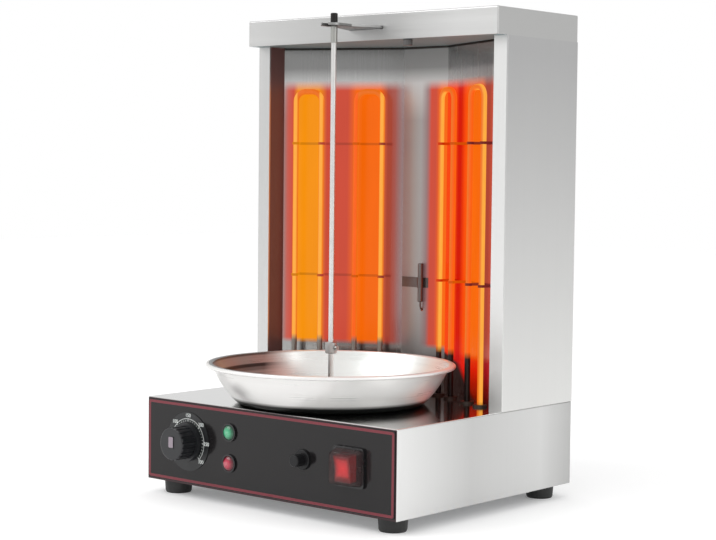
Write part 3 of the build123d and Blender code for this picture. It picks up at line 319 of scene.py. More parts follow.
def rounded_outline(width, height, corner, count=9):
    """The outline of a rectangle with rounded corners about the origin, as (across, up) pairs.

    Each corner is a quarter circle about a point one corner radius inside both sides.
    """
    x, z = width / 2 - corner, height / 2 - corner
    centres = ((x, z), (-x, z), (-x, -z), (x, -z))
    return np.concatenate([
        arc(centre, corner, 90 * number, 90 * number + 90, count) for number, centre in enumerate(centres)
    ])


def facing_front(flat, depth):
    """Points of a flat outline of (across, up) pairs, at a depth towards the front."""
    return np.stack((flat[:, 0], np.full(len(flat), -depth), flat[:, 1]), axis=-1)


def raised_pad(outline, thickness):
    """Points and faces of a flat pad with a softened front edge, in (across, depth, up) directions.

    The rows are the outline at the back, the outline at 7 tenths of the thickness, the outline drawn in
    a little at the full thickness, and a centre point at both ends.
    """
    middle = outline.mean(axis=0)
    reach = np.abs(outline - middle).max()
    inset = 1 - min(0.5, 0.3 * thickness / reach)
    rows = ((0.0, 0.0), (1.0, 0.0), (1.0, 0.7 * thickness), (inset, thickness), (0.0, thickness))
    points = [facing_front(middle + (outline - middle) * share, depth) for share, depth in rows]
    return np.concatenate(points), grid_faces(len(rows), len(outline), close_columns=True)


def panel_frame(width, height, band, corner, thickness):
    """A flat band carried round a rounded rectangle: rows are the section's four corners.

    Row i is the outline with a width smaller by twice the row's inset, at the row's depth.
    """
    rows = ((0.0, 0.0), (0.0, thickness), (band, thickness), (band, 0.0))
    lines = [
        facing_front(
            rounded_outline(width - 2 * inset, height - 2 * inset, max(corner - inset, 0.2 * MM)), depth
        )
        for inset, depth in rows
    ]
    faces = grid_faces(len(rows), len(lines[0]), close_rows=True, close_columns=True)
    return np.concatenate(lines), faces


def ticks(centre, inner, outer, width, angles, thickness):
    """Printed ticks round a dial: each is a thin bar from one radius to another at its own angle.

    Angles run clockwise from the top. A corner is the bar's direction times a radius, plus or minus
    half the width across it, at the front or back of the print.
    """
    turn = np.radians(np.asarray(angles, float))[:, None]
    out = np.stack((np.sin(turn), np.cos(turn)), axis=-1)
    side = np.stack((np.cos(turn), -np.sin(turn)), axis=-1)
    radii = np.array((inner, outer, outer, inner))[None, :, None]
    halves = np.array((-width, -width, width, width))[None, :, None] / 2
    flat = out * radii + side * halves
    back = np.concatenate((flat[..., :1], np.zeros_like(flat[..., :1]), flat[..., 1:]), axis=-1)
    front = back + np.array((0.0, -thickness, 0.0))
    points = np.concatenate((back, front), axis=1).reshape(-1, 3) + np.asarray(centre, float)
    one = np.array(((0, 1, 2, 3), (4, 7, 6, 5), (0, 4, 5, 1), (1, 5, 6, 2), (2, 6, 7, 3), (3, 7, 4, 0)))
    return points, (one[None] + 8 * np.arange(len(turn))[:, None, None]).reshape(-1, 4)


def joined(parts):
    """One set of points and faces from several, with each part's numbers moved past those before it."""
    points, faces, count = [], [], 0
    for part_points, part_faces in parts:
        points.append(part_points)
        faces.append(part_faces + count)
        count += len(part_points)
    return np.concatenate(points), np.concatenate(faces)


def number_mesh(text, size, thickness):
    """The points and faces of one printed number, lying in the plane of x and z and facing the front."""
    letters = bpy.data.curves.new("number", "FONT")
    letters.body = text
    letters.size = size
    letters.extrude = thickness / 2
    letters.align_x = letters.align_y = "CENTER"
    holder = bpy.data.objects.new("number", letters)
    bpy.context.scene.collection.objects.link(holder)
    bpy.context.view_layer.update()
    mesh = bpy.data.meshes.new_from_object(holder)
    flat = np.zeros(len(mesh.vertices) * 3)
    mesh.vertices.foreach_get("co", flat)
    flat = flat.reshape(-1, 3)
    points = np.stack((flat[:, 0], -flat[:, 2] - thickness / 2, flat[:, 1]), axis=-1)
    faces = [tuple(face.vertices) for face in mesh.polygons]
    bpy.data.objects.remove(holder)
    bpy.data.curves.remove(letters)
    bpy.data.meshes.remove(mesh)
    return points, faces


# ---------------------------------------------------------------- finishes

# A return is the sheet that is turned inwards at the tower's edges: less far out than the first
# distance, and further back than the second one. Each is given as the two ends of its mask.
RETURN_OUT, RETURN_BACK = (0.1682, 0.1686), (0.0735, 0.0745)


class Value:
    """An output of a node tree. Arithmetic on it adds the nodes that work the result out."""

    def __init__(self, nodes, socket):
        self.nodes = nodes
        self.socket = socket

    def __add__(self, other):
        return self.nodes.maths("ADD", self, other)

    def __sub__(self, other):
        return self.nodes.maths("SUBTRACT", self, other)

    def __rsub__(self, other):
        return self.nodes.maths("SUBTRACT", other, self)

    def __mul__(self, other):
        return self.nodes.maths("MULTIPLY", self, other)

    def __truediv__(self, other):
        return self.nodes.maths("DIVIDE", self, other)

    def __abs__(self):
        return self.nodes.maths("ABSOLUTE", self)

    def between(self, low, high):
        """A mask that climbs evenly from 0 at the low value to 1 at the high one."""
        return self.nodes.maths("DIVIDE", self - low, high - low, clamp=True)

    def reaches(self, level, before=1.0 * MM):
        """A mask of the faces at a level. It climbs over 0.3 mm, from a short way before the level."""
        return self.between(level - before, level - before + 0.3 * MM)

    def spread(self, low, high, start=0.3, end=0.7):
        """The value's range from start to end, laid over low to high. A noise stays mostly in 0.3 to 0.7."""
        inputs = {"Value": self, "From Min": start, "From Max": end, "To Min": low, "To Max": high}
        return self.nodes.out("MapRange", inputs)


class Nodes:
    """A node tree under construction. Inputs are given as Values, numbers or colours of three parts."""

    def __init__(self, owner):
        owner.use_nodes = True
        self.tree = owner.node_tree
        self.tree.nodes.clear()

    def add(self, kind, inputs=None, **settings):
        node = self.tree.nodes.new("ShaderNode" + kind)
        for key, value in settings.items():
            setattr(node, key, value)
        for key, value in (inputs or {}).items():
            socket = node.inputs[key]
            if isinstance(value, Value):
                self.tree.links.new(value.socket, socket)
            else:
                socket.default_value = (*value, 1) if socket.type == "RGBA" else value
        return node

    def out(self, kind, inputs=None, output=0, **settings):
        return Value(self, self.add(kind, inputs, **settings).outputs[output])

    def maths(self, operation, first, second=0.0, clamp=False):
        return self.out("Math", {0: first, 1: second}, operation=operation, use_clamp=clamp)

    def ramp(self, value, stops):
        """The colour and the weight of a ramp with (place, colour) or (place, colour, weight) stops."""
        node = self.add("ValToRGB", {0: value})
        elements = node.color_ramp.elements
        while len(elements) < len(stops):
            elements.new(0.5)
        for element, (place, colour, *weight) in zip(elements, stops):
            element.position = place
            element.color = (*colour, weight[0] if weight else 1)
        return [Value(self, socket) for socket in node.outputs]


class Finish(Nodes):
    """A material under construction."""

    def __init__(self, name):
        self.material = bpy.data.materials.new(name)
        super().__init__(self.material)
        self.place = self.out("TexCoord", output="Object")

    def parts_of_place(self):
        """The object's own x, y and z."""
        return [Value(self, socket) for socket in self.add("SeparateXYZ", {0: self.place}).outputs]

    def noise(self, scale, detail=2.0, rough=0.5):
        """A noise in the object's own coordinates, scaled alike or by three numbers along the axes."""
        scale = scale if isinstance(scale, tuple) else (scale,) * 3
        place = self.out("Mapping", {"Vector": self.place, "Scale": scale})
        return self.out("TexNoise", {"Vector": place, "Scale": 1.0, "Detail": detail, "Roughness": rough})

    def blend(self, factor, first, second, mode="MIX"):
        """Two colours mixed by a factor."""
        return self.out("Mix", {0: factor, 6: first, 7: second}, 2, data_type="RGBA", blend_type=mode)

    def times(self, first, second):
        """Two colours multiplied."""
        return self.blend(1.0, first, second, mode="MULTIPLY")

    def mottle(self, noise, colour, darker, lighter):
        """A colour that a noise makes darker and lighter by these shares."""
        return self.blend(noise, scaled(colour, darker), scaled(colour, lighter))

    def bump(self, height, strength, distance=0.2 * MM):
        return self.out("Bump", {"Height": height, "Strength": strength, "Distance": distance})

    def wall_place(self, x, y):
        """A point's distance along the nearer side wall, from its front end, and its distance off it."""
        out, back = abs(x) - WALL_FRONT[0], y - WALL_FRONT[1]
        along = out * WALL_ALONG[0] + back * WALL_ALONG[1]
        return along, back * WALL_ALONG[0] - out * WALL_ALONG[1]

    def surface(self, **sockets):
        """Ends the tree with one Principled shader. Underscores in a socket's name stand for spaces."""
        inputs = {key.replace("_", " "): value for key, value in sockets.items()}
        self.add("OutputMaterial", {"Surface": self.out("BsdfPrincipled", inputs)})
        return self.material


def grey(level):
    return linear(level, level, level)


def brushed_steel(name, colour, roughness, density, grain="upright", extra=None):
    """Steel with fine brush lines: noise stretched a hundredfold along the grain.

    The extra function changes the colour and roughness from place to place, and tells how metallic it is.
    """
    finish = Finish(name)
    along = density * 0.01
    fine = (density, density, along) if grain == "upright" else (along, density, density)
    lines = finish.noise(fine, detail=3.0, rough=0.65)
    bands = finish.noise(tuple(value * 0.23 for value in fine))
    patches = finish.noise(6.0)
    mixed = lines * 0.6 + bands * 0.4
    base = finish.mottle(mixed, colour, 0.95, 1.05)
    base = finish.blend(patches.spread(0.0, 0.25, 0.35), base, scaled(colour, 0.94))
    dull = mixed.spread(roughness - 0.05, roughness + 0.07)
    metal = 1.0
    if extra is not None:
        base, dull, metal = extra(finish, base, dull)
    return finish.surface(Base_Color=base, Metallic=metal, Roughness=dull, Normal=finish.bump(lines, 0.10))


def tower_painted_shade(finish, base, dull):
    """Painted shade on the tower: its outer sides are darker towards the top, and the returns inside its
    edges are dark, in a reddish brown.

    The left panel's other faces are a little darker than the right one's, also as painted shade.
    """
    x, y, z = finish.parts_of_place()
    # Painted shade: the outer sides darken towards the top.
    stops = ((0.0, linear(216, 216, 214)), (0.5, linear(203, 203, 202)), (1.0, grey(183)))
    tone = finish.ramp(z.between(0.10, 0.50), stops)[0]
    # Painted shade: the left panel is a darker copy of the body steel.
    left = finish.maths("LESS_THAN", x, 0.0)
    shaded = finish.blend(left, base, scaled(tuple(bpy.context.scene.grill_steel.body_colour), 0.80))
    shaded = finish.blend(abs(x).reaches(SIDE), shaded, tone)
    # The returns' dark reddish brown is painted shade.
    returns = (1 - abs(x).between(*RETURN_OUT)) * y.between(*RETURN_BACK)
    return finish.blend(returns, shaded, linear(104, 78, 76)), dull, 1 - returns * 0.8


def cap_painted_shade(finish, base, dull):
    """Painted shade: the cap's top and ends are darker than its front, whose middle is a little darker."""
    x, y, z = finish.parts_of_place()
    stops = ((0.0, (1, 1, 1)), (0.5, (0.72, 0.72, 0.72)), (0.85, (1, 1, 1)))
    base = finish.times(base, finish.ramp(x.between(-SIDE, SIDE), stops)[0])
    base = finish.blend(z.reaches(CAD_BOX[1][2]), base, grey(176))
    return finish.blend(abs(x).reaches(SIDE), base, linear(188, 188, 187)), dull, 1.0


def arm_underside_painted_shade(finish, base, dull):
    """The support arm's underside is darker than its top and its edges: painted shade."""
    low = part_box("support_arm")[0][2]
    z = finish.parts_of_place()[2]
    return finish.blend(1 - z.between(low + 0.1 * MM, low + 0.8 * MM), base, linear(70, 70, 69)), dull, 1.0


def base_painted_shade(finish, base, dull):
    """The base's flat top is smoother than its sides. Painted shade makes the sides a little darker past
    their front end and the back darker than the body steel.

    The front face round the panel is dark: a painted shadow of the panel.
    """
    x, y, z = finish.parts_of_place()
    stops = (
        (0.0, linear(225, 225, 224)), (0.4, linear(193, 193, 192)), (0.8, linear(208, 208, 207)),
        (1.0, linear(180, 180, 179)),
    )
    tone = finish.ramp(y.between(-0.11, 0.21), stops)[0]
    base = finish.blend(abs(x).reaches(SIDE), base, tone)
    base = finish.blend(y.reaches(BASE_BACK), base, linear(190, 190, 189))
    base = finish.blend((y * -1.0).reaches(-BASE_FRONT, 0.5 * MM), base, linear(74, 62, 64))
    top = z.reaches(BASE_TOP)
    return base, dull * (1 - top) + top * bpy.context.scene.grill_steel.top_roughness, 1.0


def plain_metal(name, colour, roughness, grit=900.0):
    """Turned or plated metal: fine even grain in its colour, roughness and relief."""
    finish = Finish(name)
    grain = finish.noise(grit, detail=3.0)
    base = finish.mottle(finish.noise(60.0, detail=3.0), colour, 0.92, 1.08)
    dull = grain.spread(roughness - 0.06, roughness + 0.10)
    return finish.surface(Base_Color=base, Metallic=1.0, Roughness=dull, Normal=finish.bump(grain, 0.06))


def moulded(name, colour, roughness, grit=1400.0, strength=0.08, **more):
    """Moulded plastic or rubber: a fine pebbled grain and slightly uneven gloss."""
    finish = Finish(name)
    cloud = finish.noise(90.0)
    base = finish.mottle(cloud, colour, 0.88, 1.14)
    dull = cloud.spread(roughness - 0.05, roughness + 0.07)
    bumped = finish.bump(finish.noise(grit), strength)
    return finish.surface(Base_Color=base, Roughness=dull, Normal=bumped, **more)


def glossy_panel(name, colour):
    """The charcoal control panel: a smooth gloss sheet with a very faint orange-peel."""
    finish = Finish(name)
    peel = finish.noise(420.0, detail=1.0)
    return finish.surface(
        Base_Color=finish.mottle(finish.noise(14.0), colour, 0.9, 1.15), Roughness=peel.spread(0.10, 0.15),
        Normal=finish.bump(peel, 0.012), Specular_IOR_Level=0.3,
    )


def printed(name, colour, roughness=0.45):
    """A printed ink: a slightly uneven cover of colour."""
    finish = Finish(name)
    ink = finish.noise(700.0, detail=3.0)
    dull = ink.spread(roughness - 0.08, roughness + 0.08)
    return finish.surface(Base_Color=finish.mottle(ink, colour, 0.85, 1.1), Roughness=dull)


def clear_hood(name):
    """Soft clear silicone: a thin tinted skin that lets most of the light through."""
    finish = Finish(name)
    haze = finish.noise(160.0)
    base = finish.blend(haze, (0.62, 0.50, 0.50), (0.72, 0.60, 0.60))
    dull = haze.spread(0.03, 0.10)
    return finish.surface(Base_Color=base, Roughness=dull, IOR=1.14, Transmission_Weight=0.97)


def ceramic(name):
    """Dark brown steatite with fine dark specks."""
    finish = Finish(name)
    specks = finish.noise(1500.0)
    stops = ((0.3, linear(46, 40, 36)), (0.42, linear(66, 58, 52)), (1.0, linear(78, 70, 64)))
    base = finish.ramp(specks, stops)[0]
    return finish.surface(Base_Color=base, Roughness=0.5, Normal=finish.bump(specks, 0.05))


def hot_tube(name, heat, side):
    """Heater sheath of one side: glowing where it is hot, oxidised dark steel at its cold ends.

    The outer legs are the brightest. A leg's flanks are redder than its middle: the offset from its
    centre line is measured along the left wall, and away from the right wall, and divided by the radius.
    The glow fades in over 8 mm of height: from 165 mm up on the left and 160 mm up on the right, but
    from 108 mm up on the foremost leg there. On the right the cold ends are darker still, as painted shade.
    """
    finish = Finish(name)
    x, y, z = finish.parts_of_place()
    run, off = finish.wall_place(x, y)
    soot = finish.noise((300.0, 300.0, 60.0), detail=3.0)
    bright, inner = tuple(heat.tube_colour), tuple(heat.inner_colour)
    if side < 0:
        first_leg, cold = (0.45, 0.55), (linear(118, 112, 106), linear(152, 146, 140))
        nearest = finish.maths("PINGPONG", run - LOOP_PLACES[0], (LOOP_PLACES[1] - LOOP_PLACES[0]) / 2)
        offset, lowest = nearest - LOOP_HALF_WIDTH, 0.165
    else:
        # Painted shade: the right side's cold colours are darker than the oxide on the left.
        first_leg, cold = (0.22, 0.30), (linear(34, 28, 27), linear(58, 50, 48))
        offset, lowest = off - heat.standoff, run.spread(0.108, 0.160, 0.030, 0.045)
    stops = ((first_leg[0], bright), (first_leg[1], inner), (0.72, inner), (0.80, bright))
    core = finish.ramp(run / WALL_LENGTH, stops)[0]
    flank = (abs(offset) / heat.tube_radius).between(0.45, 0.95)
    colour = finish.blend(flank, core, tuple(heat.edge_colour))
    hot = (z - lowest).between(0.0, 8 * MM)
    light = finish.blend(hot * soot.spread(0.94, 1.0), (0, 0, 0), colour)
    base = finish.blend(hot, finish.blend(soot, *cold), linear(40, 18, 8))
    return finish.surface(
        Base_Color=base, Metallic=0.6, Roughness=0.45, Emission_Color=light,
        Emission_Strength=heat.tube_strength, Normal=finish.bump(soot, 0.1),
    )


# The glow's colours in screen values: in the loops, between them, and at the glow's edges.
AMBER, ORANGE, VERMILION, SCARLET = (247, 147, 13), (246, 104, 6), (246, 66, 4), (208, 8, 0)
CRIMSON, HALO, FADED = (205, 76, 58), (166, 64, 50), (140, 98, 100)
# The glow on each wall: the distance along it in millimetres, its colour, and how much of the steel it
# covers. The middle wall's distances are from its middle, to the right.
LEFT_GLOW = (
    (0, HALO, 0.45), (5, CRIMSON, 0.85), (12, CRIMSON, 1), (18, AMBER, 1), (44, AMBER, 1),
    (54, CRIMSON, 1), (80, CRIMSON, 1), (91, ORANGE, 1), (120, ORANGE, 1), (130, HALO, 0.95),
    (139, HALO, 0.85), (149, FADED, 0.55),
)
RIGHT_GLOW = (
    (0, FADED, 0.3), (20, FADED, 0.6), (32, CRIMSON, 0.9), (42, HALO, 1), (50, HALO, 1), (60, ORANGE, 1),
    (90, ORANGE, 1), (103, VERMILION, 1), (112, SCARLET, 1), (119, SCARLET, 1), (126, VERMILION, 1),
    (149, VERMILION, 1),
)
MIDDLE_GLOW = (
    (-33, FADED, 0.5), (-26, FADED, 0.25), (-18, FADED, 0.0), (-6, FADED, 0.0), (3, FADED, 0.7),
    (9, CRIMSON, 1), (16, CRIMSON, 1), (24, ORANGE, 1), (33, ORANGE, 1),
)
# Heights on the walls: where the painted glow fades in below the loops and out above them, where the
# steel's painted shade goes from its lower tone to its upper one, and where the roof's shade is full.
GLOW_IN, GLOW_OUT, PAINTED_TONE_CHANGE, SHADE_FULL = (0.160, 0.166), (0.466, 0.478), (0.43, 0.475), 0.4925
# The right wall's foot lies between these heights. Its glow turns red there and dies out at the base.
FOOT_LOW, FOOT_HIGH = 0.09, 0.17
RIGHT_FALL = (
    (0.093, (0.02, 0.012, 0.01)), (0.108, (0.07, 0.02, 0.015)), (0.118, (0.28, 0.05, 0.05)),
    (0.130, (0.46, 0.06, 0.08)), (0.146, (0.80, 0.09, 0.3)), (0.155, (0.86, 0.22, 0.5)), (0.163, (1, 1, 1)),
)
# How far along the wall the pan's shade starts there, at each height, as a share of 200 mm.
PAN_SHADE = (
    (0.093, (0.26,) * 3), (0.110, (0.33,) * 3), (0.148, (0.53,) * 3), (0.160, (0.75,) * 3),
    (0.170, (0.995,) * 3),
)


def foot_ramp(finish, z, table):
    """The colours of a table of (height, colour) pairs at the right wall's foot."""
    height = FOOT_HIGH - FOOT_LOW
    stops = [((level - FOOT_LOW) / height, colour) for level, colour in table]
    return finish.ramp(z.spread(0.0, 1.0, FOOT_LOW, FOOT_HIGH), stops)[0]


def glowing_wall(name, steel, heat, glow, side, painted_tones=(1.0, 1.0), rough=None):
    """Polished wall with the heaters' glow painted on it as light.

    The glow's colour and how much of the steel it covers follow the distance along the wall, by one
    colour ramp. It ends just above the loops and at their foot, but on the right wall it turns dark red
    there and dies out towards the base. Painted shade gives the steel one tone at the loops' height and
    another above them, darkens it under the roof, and draws a dark shadow line at its top edge.
    """
    finish = Finish(name)
    x, y, z = finish.parts_of_place()
    run = x if side == 0 else finish.wall_place(x, y)[0]
    first, last = glow[0][0], glow[-1][0]
    colour, weight = finish.ramp((run - first * MM) / ((last - first) * MM), [
        ((distance - first) / (last - first), linear(*screen), share) for distance, screen, share in glow
    ])
    if side > 0:
        colour = finish.times(colour, foot_ramp(finish, z, RIGHT_FALL))
        shade = (run - foot_ramp(finish, z, PAN_SHADE) * 0.2).between(0.0, 14 * MM)
        colour = finish.blend(shade, colour, linear(36, 20, 18))
    else:
        weight = weight * z.between(*GLOW_IN)
    weight = weight * (1 - z.between(*GLOW_OUT))
    light = finish.blend(weight * finish.noise((40.0, 40.0, 9.0)).spread(0.92, 1.0), (0, 0, 0), colour)
    lines = finish.noise((900.0, 900.0, 8.0), detail=3.0)
    # Painted shade: the steel's tone changes with height.
    base = finish.blend(z.between(*PAINTED_TONE_CHANGE), *(scaled(tuple(steel.wall_colour), tone) for tone in painted_tones))
    base = finish.times(base, finish.blend(lines, (0.9, 0.9, 0.9), (1, 1, 1)))
    # Painted shade under the roof.
    lowest, darkest = (0.486, 0.62) if side > 0 else (0.474, 0.45)
    shade = finish.blend(z.between(lowest, SHADE_FULL), (1, 1, 1), (darkest,) * 3)
    base = finish.times(base, shade)
    # A painted shadow line just under the wall's top edge.
    base = finish.blend(z.between(WALL_TOP - 3.0 * MM, WALL_TOP - 2.2 * MM), base, linear(58, 56, 54))
    base = finish.blend(weight, base, (0.03, 0.015, 0.01))
    rough = steel.wall_roughness if rough is None else rough
    return finish.surface(
        Base_Color=base, Metallic=1.0, Roughness=lines.spread(rough - 0.04, rough + 0.06),
        Emission_Color=light, Emission_Strength=heat.glow_strength, Normal=finish.bump(lines, 0.06),
    )


def lit_lens(name, colour, glow, middle, reach, square=False):
    """A lit lens: pale in its middle and deep in colour at its rim, with fine prisms inside.

    The shade follows the distance from the lens's axis divided by its radius. On a square lens it
    follows the larger of the two distances, across and up, each divided by half the lens's size.
    """
    finish = Finish(name)
    x, y, z = finish.parts_of_place()
    across, up = (x - middle[0]) / reach[0], (z - middle[2]) / reach[1]
    if square:
        far = finish.maths("MAXIMUM", abs(across), abs(up))
        stops = ((0.0, scaled(colour, 1.25)), (0.5, scaled(colour, 0.9)), (0.72, scaled(colour, 0.3)),
                 (0.95, scaled(colour, 0.15)))
    else:
        far = finish.maths("SQRT", across * across + up * up)
        stops = ((0.0, tuple(0.75 * value + 0.06 for value in colour)), (0.45, scaled(colour, 0.8)),
                 (0.8, scaled(colour, 0.25)), (1.0, scaled(colour, 0.1)))
    prisms = finish.noise((900.0, 180.0, 900.0), detail=1.0)
    light = finish.blend(prisms.spread(0.0, 0.35, 0.35, 0.65), finish.ramp(far, stops)[0], (0, 0, 0))
    return finish.surface(
        Base_Color=light, Roughness=0.18, Emission_Color=light, Emission_Strength=glow,
        Coat_Weight=0.4, Coat_Roughness=0.08,
    )


def spun_metal(name, colour, roughness, inside):
    """Spun sheet: fine rings about the upright axis, from a noise in the distance to the axis.

    The outside turns dark in its lowest 10 mm, as painted shade. The inside is tinted a little cyan and
    is darker and streaked on the side where the sum of 0.757 x and 0.654 y is low, as painted reflection.
    """
    finish = Finish(name)
    x, y, z = finish.parts_of_place()
    rings = finish.out("CombineXYZ", {0: finish.maths("SQRT", x * x + y * y), 1: z})
    fine = finish.out("TexNoise", {"Vector": rings, "Scale": 1400.0, "Detail": 3.0, "Roughness": 0.6})
    wide = finish.out("TexNoise", {"Vector": rings, "Scale": 160.0, "Detail": 2.0})
    mixed = fine * 0.5 + wide * 0.5
    base = finish.mottle(mixed, colour, 0.94, 1.04)
    if inside:
        # Painted reflection on the inside: a cyan tint, and dark streaks on one side.
        left = 1 - (x * 0.757 + y * 0.654).between(-0.080, -0.046)
        base = finish.times(base, (0.99, 1.05, 1.05))
        base = finish.blend(left * wide.spread(0.62, 1.0, 0.42, 0.58), base, (0.034, 0.046, 0.048))
    else:
        # Painted shade on the outside's foot.
        low = 1 - z.between(BASE_TOP + 6.5 * MM, BASE_TOP + 10.5 * MM)
        base = finish.blend(low, base, (0.012, 0.013, 0.012))
    smears = finish.noise(14.0, detail=3.0)
    dull = (mixed * 0.7 + smears * 0.3).spread(roughness - 0.06, roughness + 0.08)
    return finish.surface(Base_Color=base, Metallic=0.5, Roughness=dull, Normal=finish.bump(wide, 0.02))


def cover(material, *names):
    """Puts one finish on every material slot of the named CAD nodes."""
    for name in names:
        slots = NODES[name].material_slots
        if len(slots) == 0:
            NODES[name].data.materials.append(material)
        for slot in slots:
            slot.material = material


def place_piece(piece, material, body, replaces=()):
    """Gives a new piece its finish, its body and its slot, and hides the CAD nodes that it stands for."""
    piece.data.materials.append(material)
    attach(piece, body)
    if replaces:
        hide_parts(*replaces)


# ---------------------------------------------------------------- operators


class FinishRows:
    """What the operators share that only give CAD nodes their finishes.

    A row holds the finish's function, name, colour, roughness and other values, and its nodes.
    """

    def execute(self, context):
        for finish, name, colour, roughness, others, nodes in self.rows:
            cover(finish(name, colour, roughness, **others), *nodes)
        return {"FINISHED"}


class GRILL_OT_shells(bpy.types.Operator):
    """Brushed steel on the base, the tower and the cap"""

    bl_idname = "grill.shells"
    bl_label = "Shells"

    def execute(self, context):
        steel = context.scene.grill_steel
        colour = tuple(steel.body_colour)
        look = (steel.body_roughness, steel.line_density)
        tower = brushed_steel("brushed_steel", colour, *look, extra=tower_painted_shade)
        cover(tower, "right_side_panel", "left_side_panel")
        cover(brushed_steel("base_steel", colour, *look, extra=base_painted_shade), "base_housing")
        # The back's and the cap's steel are darker copies of the body steel: painted shade.
        cover(brushed_steel("back_steel", scaled(colour, 0.7), *look), "back_panel")
        cover(brushed_steel("cap_steel", scaled(colour, 0.84), *look, "across", cap_painted_shade), "top_cap")
        cover(plain_metal("galvanised_sheet", linear(150, 152, 154), 0.42, grit=200.0), "base_plate")
        # The roof plate's matt grey is painted shade: it stands in for the steel roof in the cap's shade.
        cover(printed("roof_grey", linear(112, 131, 133), 0.55), "roof_plate")
        return {"FINISHED"}


class GRILL_OT_reflectors(bpy.types.Operator):
    """Polished reflector walls with the heaters' glow, and the steel strips that hold the tubes"""

    bl_idname = "grill.reflectors"
    bl_label = "Reflector walls"

    def execute(self, context):
        steel, heat = context.scene.grill_steel, context.scene.grill_heat
        # The strips' painted glow is dimmer and covers them. The outer end of the right one glows a dull red.
        left, right = (
            [(at, tuple(0.86 * value for value in screen), 1) for at, screen, share in glow]
            for glow in (LEFT_GLOW, RIGHT_GLOW)
        )
        right[:5] = [(at, (112, 34, 34), 1) for at, screen, share in right[:5]]
        for node, glow, side, *look in (
            ("left_reflector", LEFT_GLOW, -1, (0.80, 1.26)),
            ("right_reflector", RIGHT_GLOW, 1, (1.15, 2.6)),
            ("centre_reflector", MIDDLE_GLOW, 0, (0.78, 1.42), 0.42),
            ("left_heater_strips", left, -1),
            ("right_heater_strips", right, 1),
        ):
            cover(glowing_wall("glow_on_" + node, steel, heat, glow, side, *look), node)
        return {"FINISHED"}


def heater_path(side, place, heat, bottom, top):
    """The centre line of one hairpin: up one leg, over the bridge by two quarter bends, and down the other.

    A point is the wall's front end, plus its distance along the wall, plus the standoff inwards. It also
    hands back the direction inwards, off the wall.
    """
    along = WALL_ALONG * (side, 1)
    inward = np.array((-WALL_ALONG[1], WALL_ALONG[0])) * (side, 1)
    start = WALL_FRONT * (side, 1) + inward * heat.standoff
    bend, reach = heat.bend_radius, LOOP_HALF_WIDTH
    left = arc((-reach + bend, top - bend), bend, 180, 90, 14)
    right = arc((reach - bend, top - bend), bend, 90, 0, 14)
    leg = np.linspace(bottom, top - bend, 40, endpoint=False)
    first = np.stack((np.full(len(leg), -reach), leg), axis=-1)
    last = np.stack((np.full(len(leg), reach), leg[::-1]), axis=-1)
    flat = np.concatenate((first, left, right, last))
    ground = start + (place + flat[:, :1]) * along
    return np.concatenate((ground, flat[:, 1:]), axis=1), np.append(inward, 0.0)


class GRILL_OT_heaters(bpy.types.Operator):
    """Smooth hairpin tubes that glow, standing in ceramic bushes"""

    bl_idname = "grill.heaters"
    bl_label = "Tube heaters"

    def execute(self, context):
        heat = context.scene.grill_heat
        for name, side in (("left", -1), ("right", 1)):
            hot = hot_tube("hot_tube_" + name, heat, side)
            for row, place in zip(("front", "rear"), LOOP_PLACES):
                node = name + "_" + row + "_heater"
                low, high = box_of(node)
                # The tube ends 10 mm above the CAD one's lower end, in the base below its bush.
                path, inward = heater_path(side, place, heat, low[2] + 10 * MM, high[2] - heat.tube_radius)
                piece = new_piece(node + "_tube", *tube(path, heat.tube_radius, inward))
                place_piece(piece, hot, "grill", (node,))
        cover(ceramic("bush_ceramic"), "heater_bushes")
        return {"FINISHED"}


def eased(start, corner, end):
    """12 points of a curve from a start to an end, pulled towards a corner.

    A point is (1 - t) squared times the start, plus 2 t (1 - t) times the corner, plus t squared times
    the end.
    """
    t = np.linspace(0, 1, 12)[:, None]
    return (1 - t) ** 2 * start + 2 * t * (1 - t) * corner + t ** 2 * end


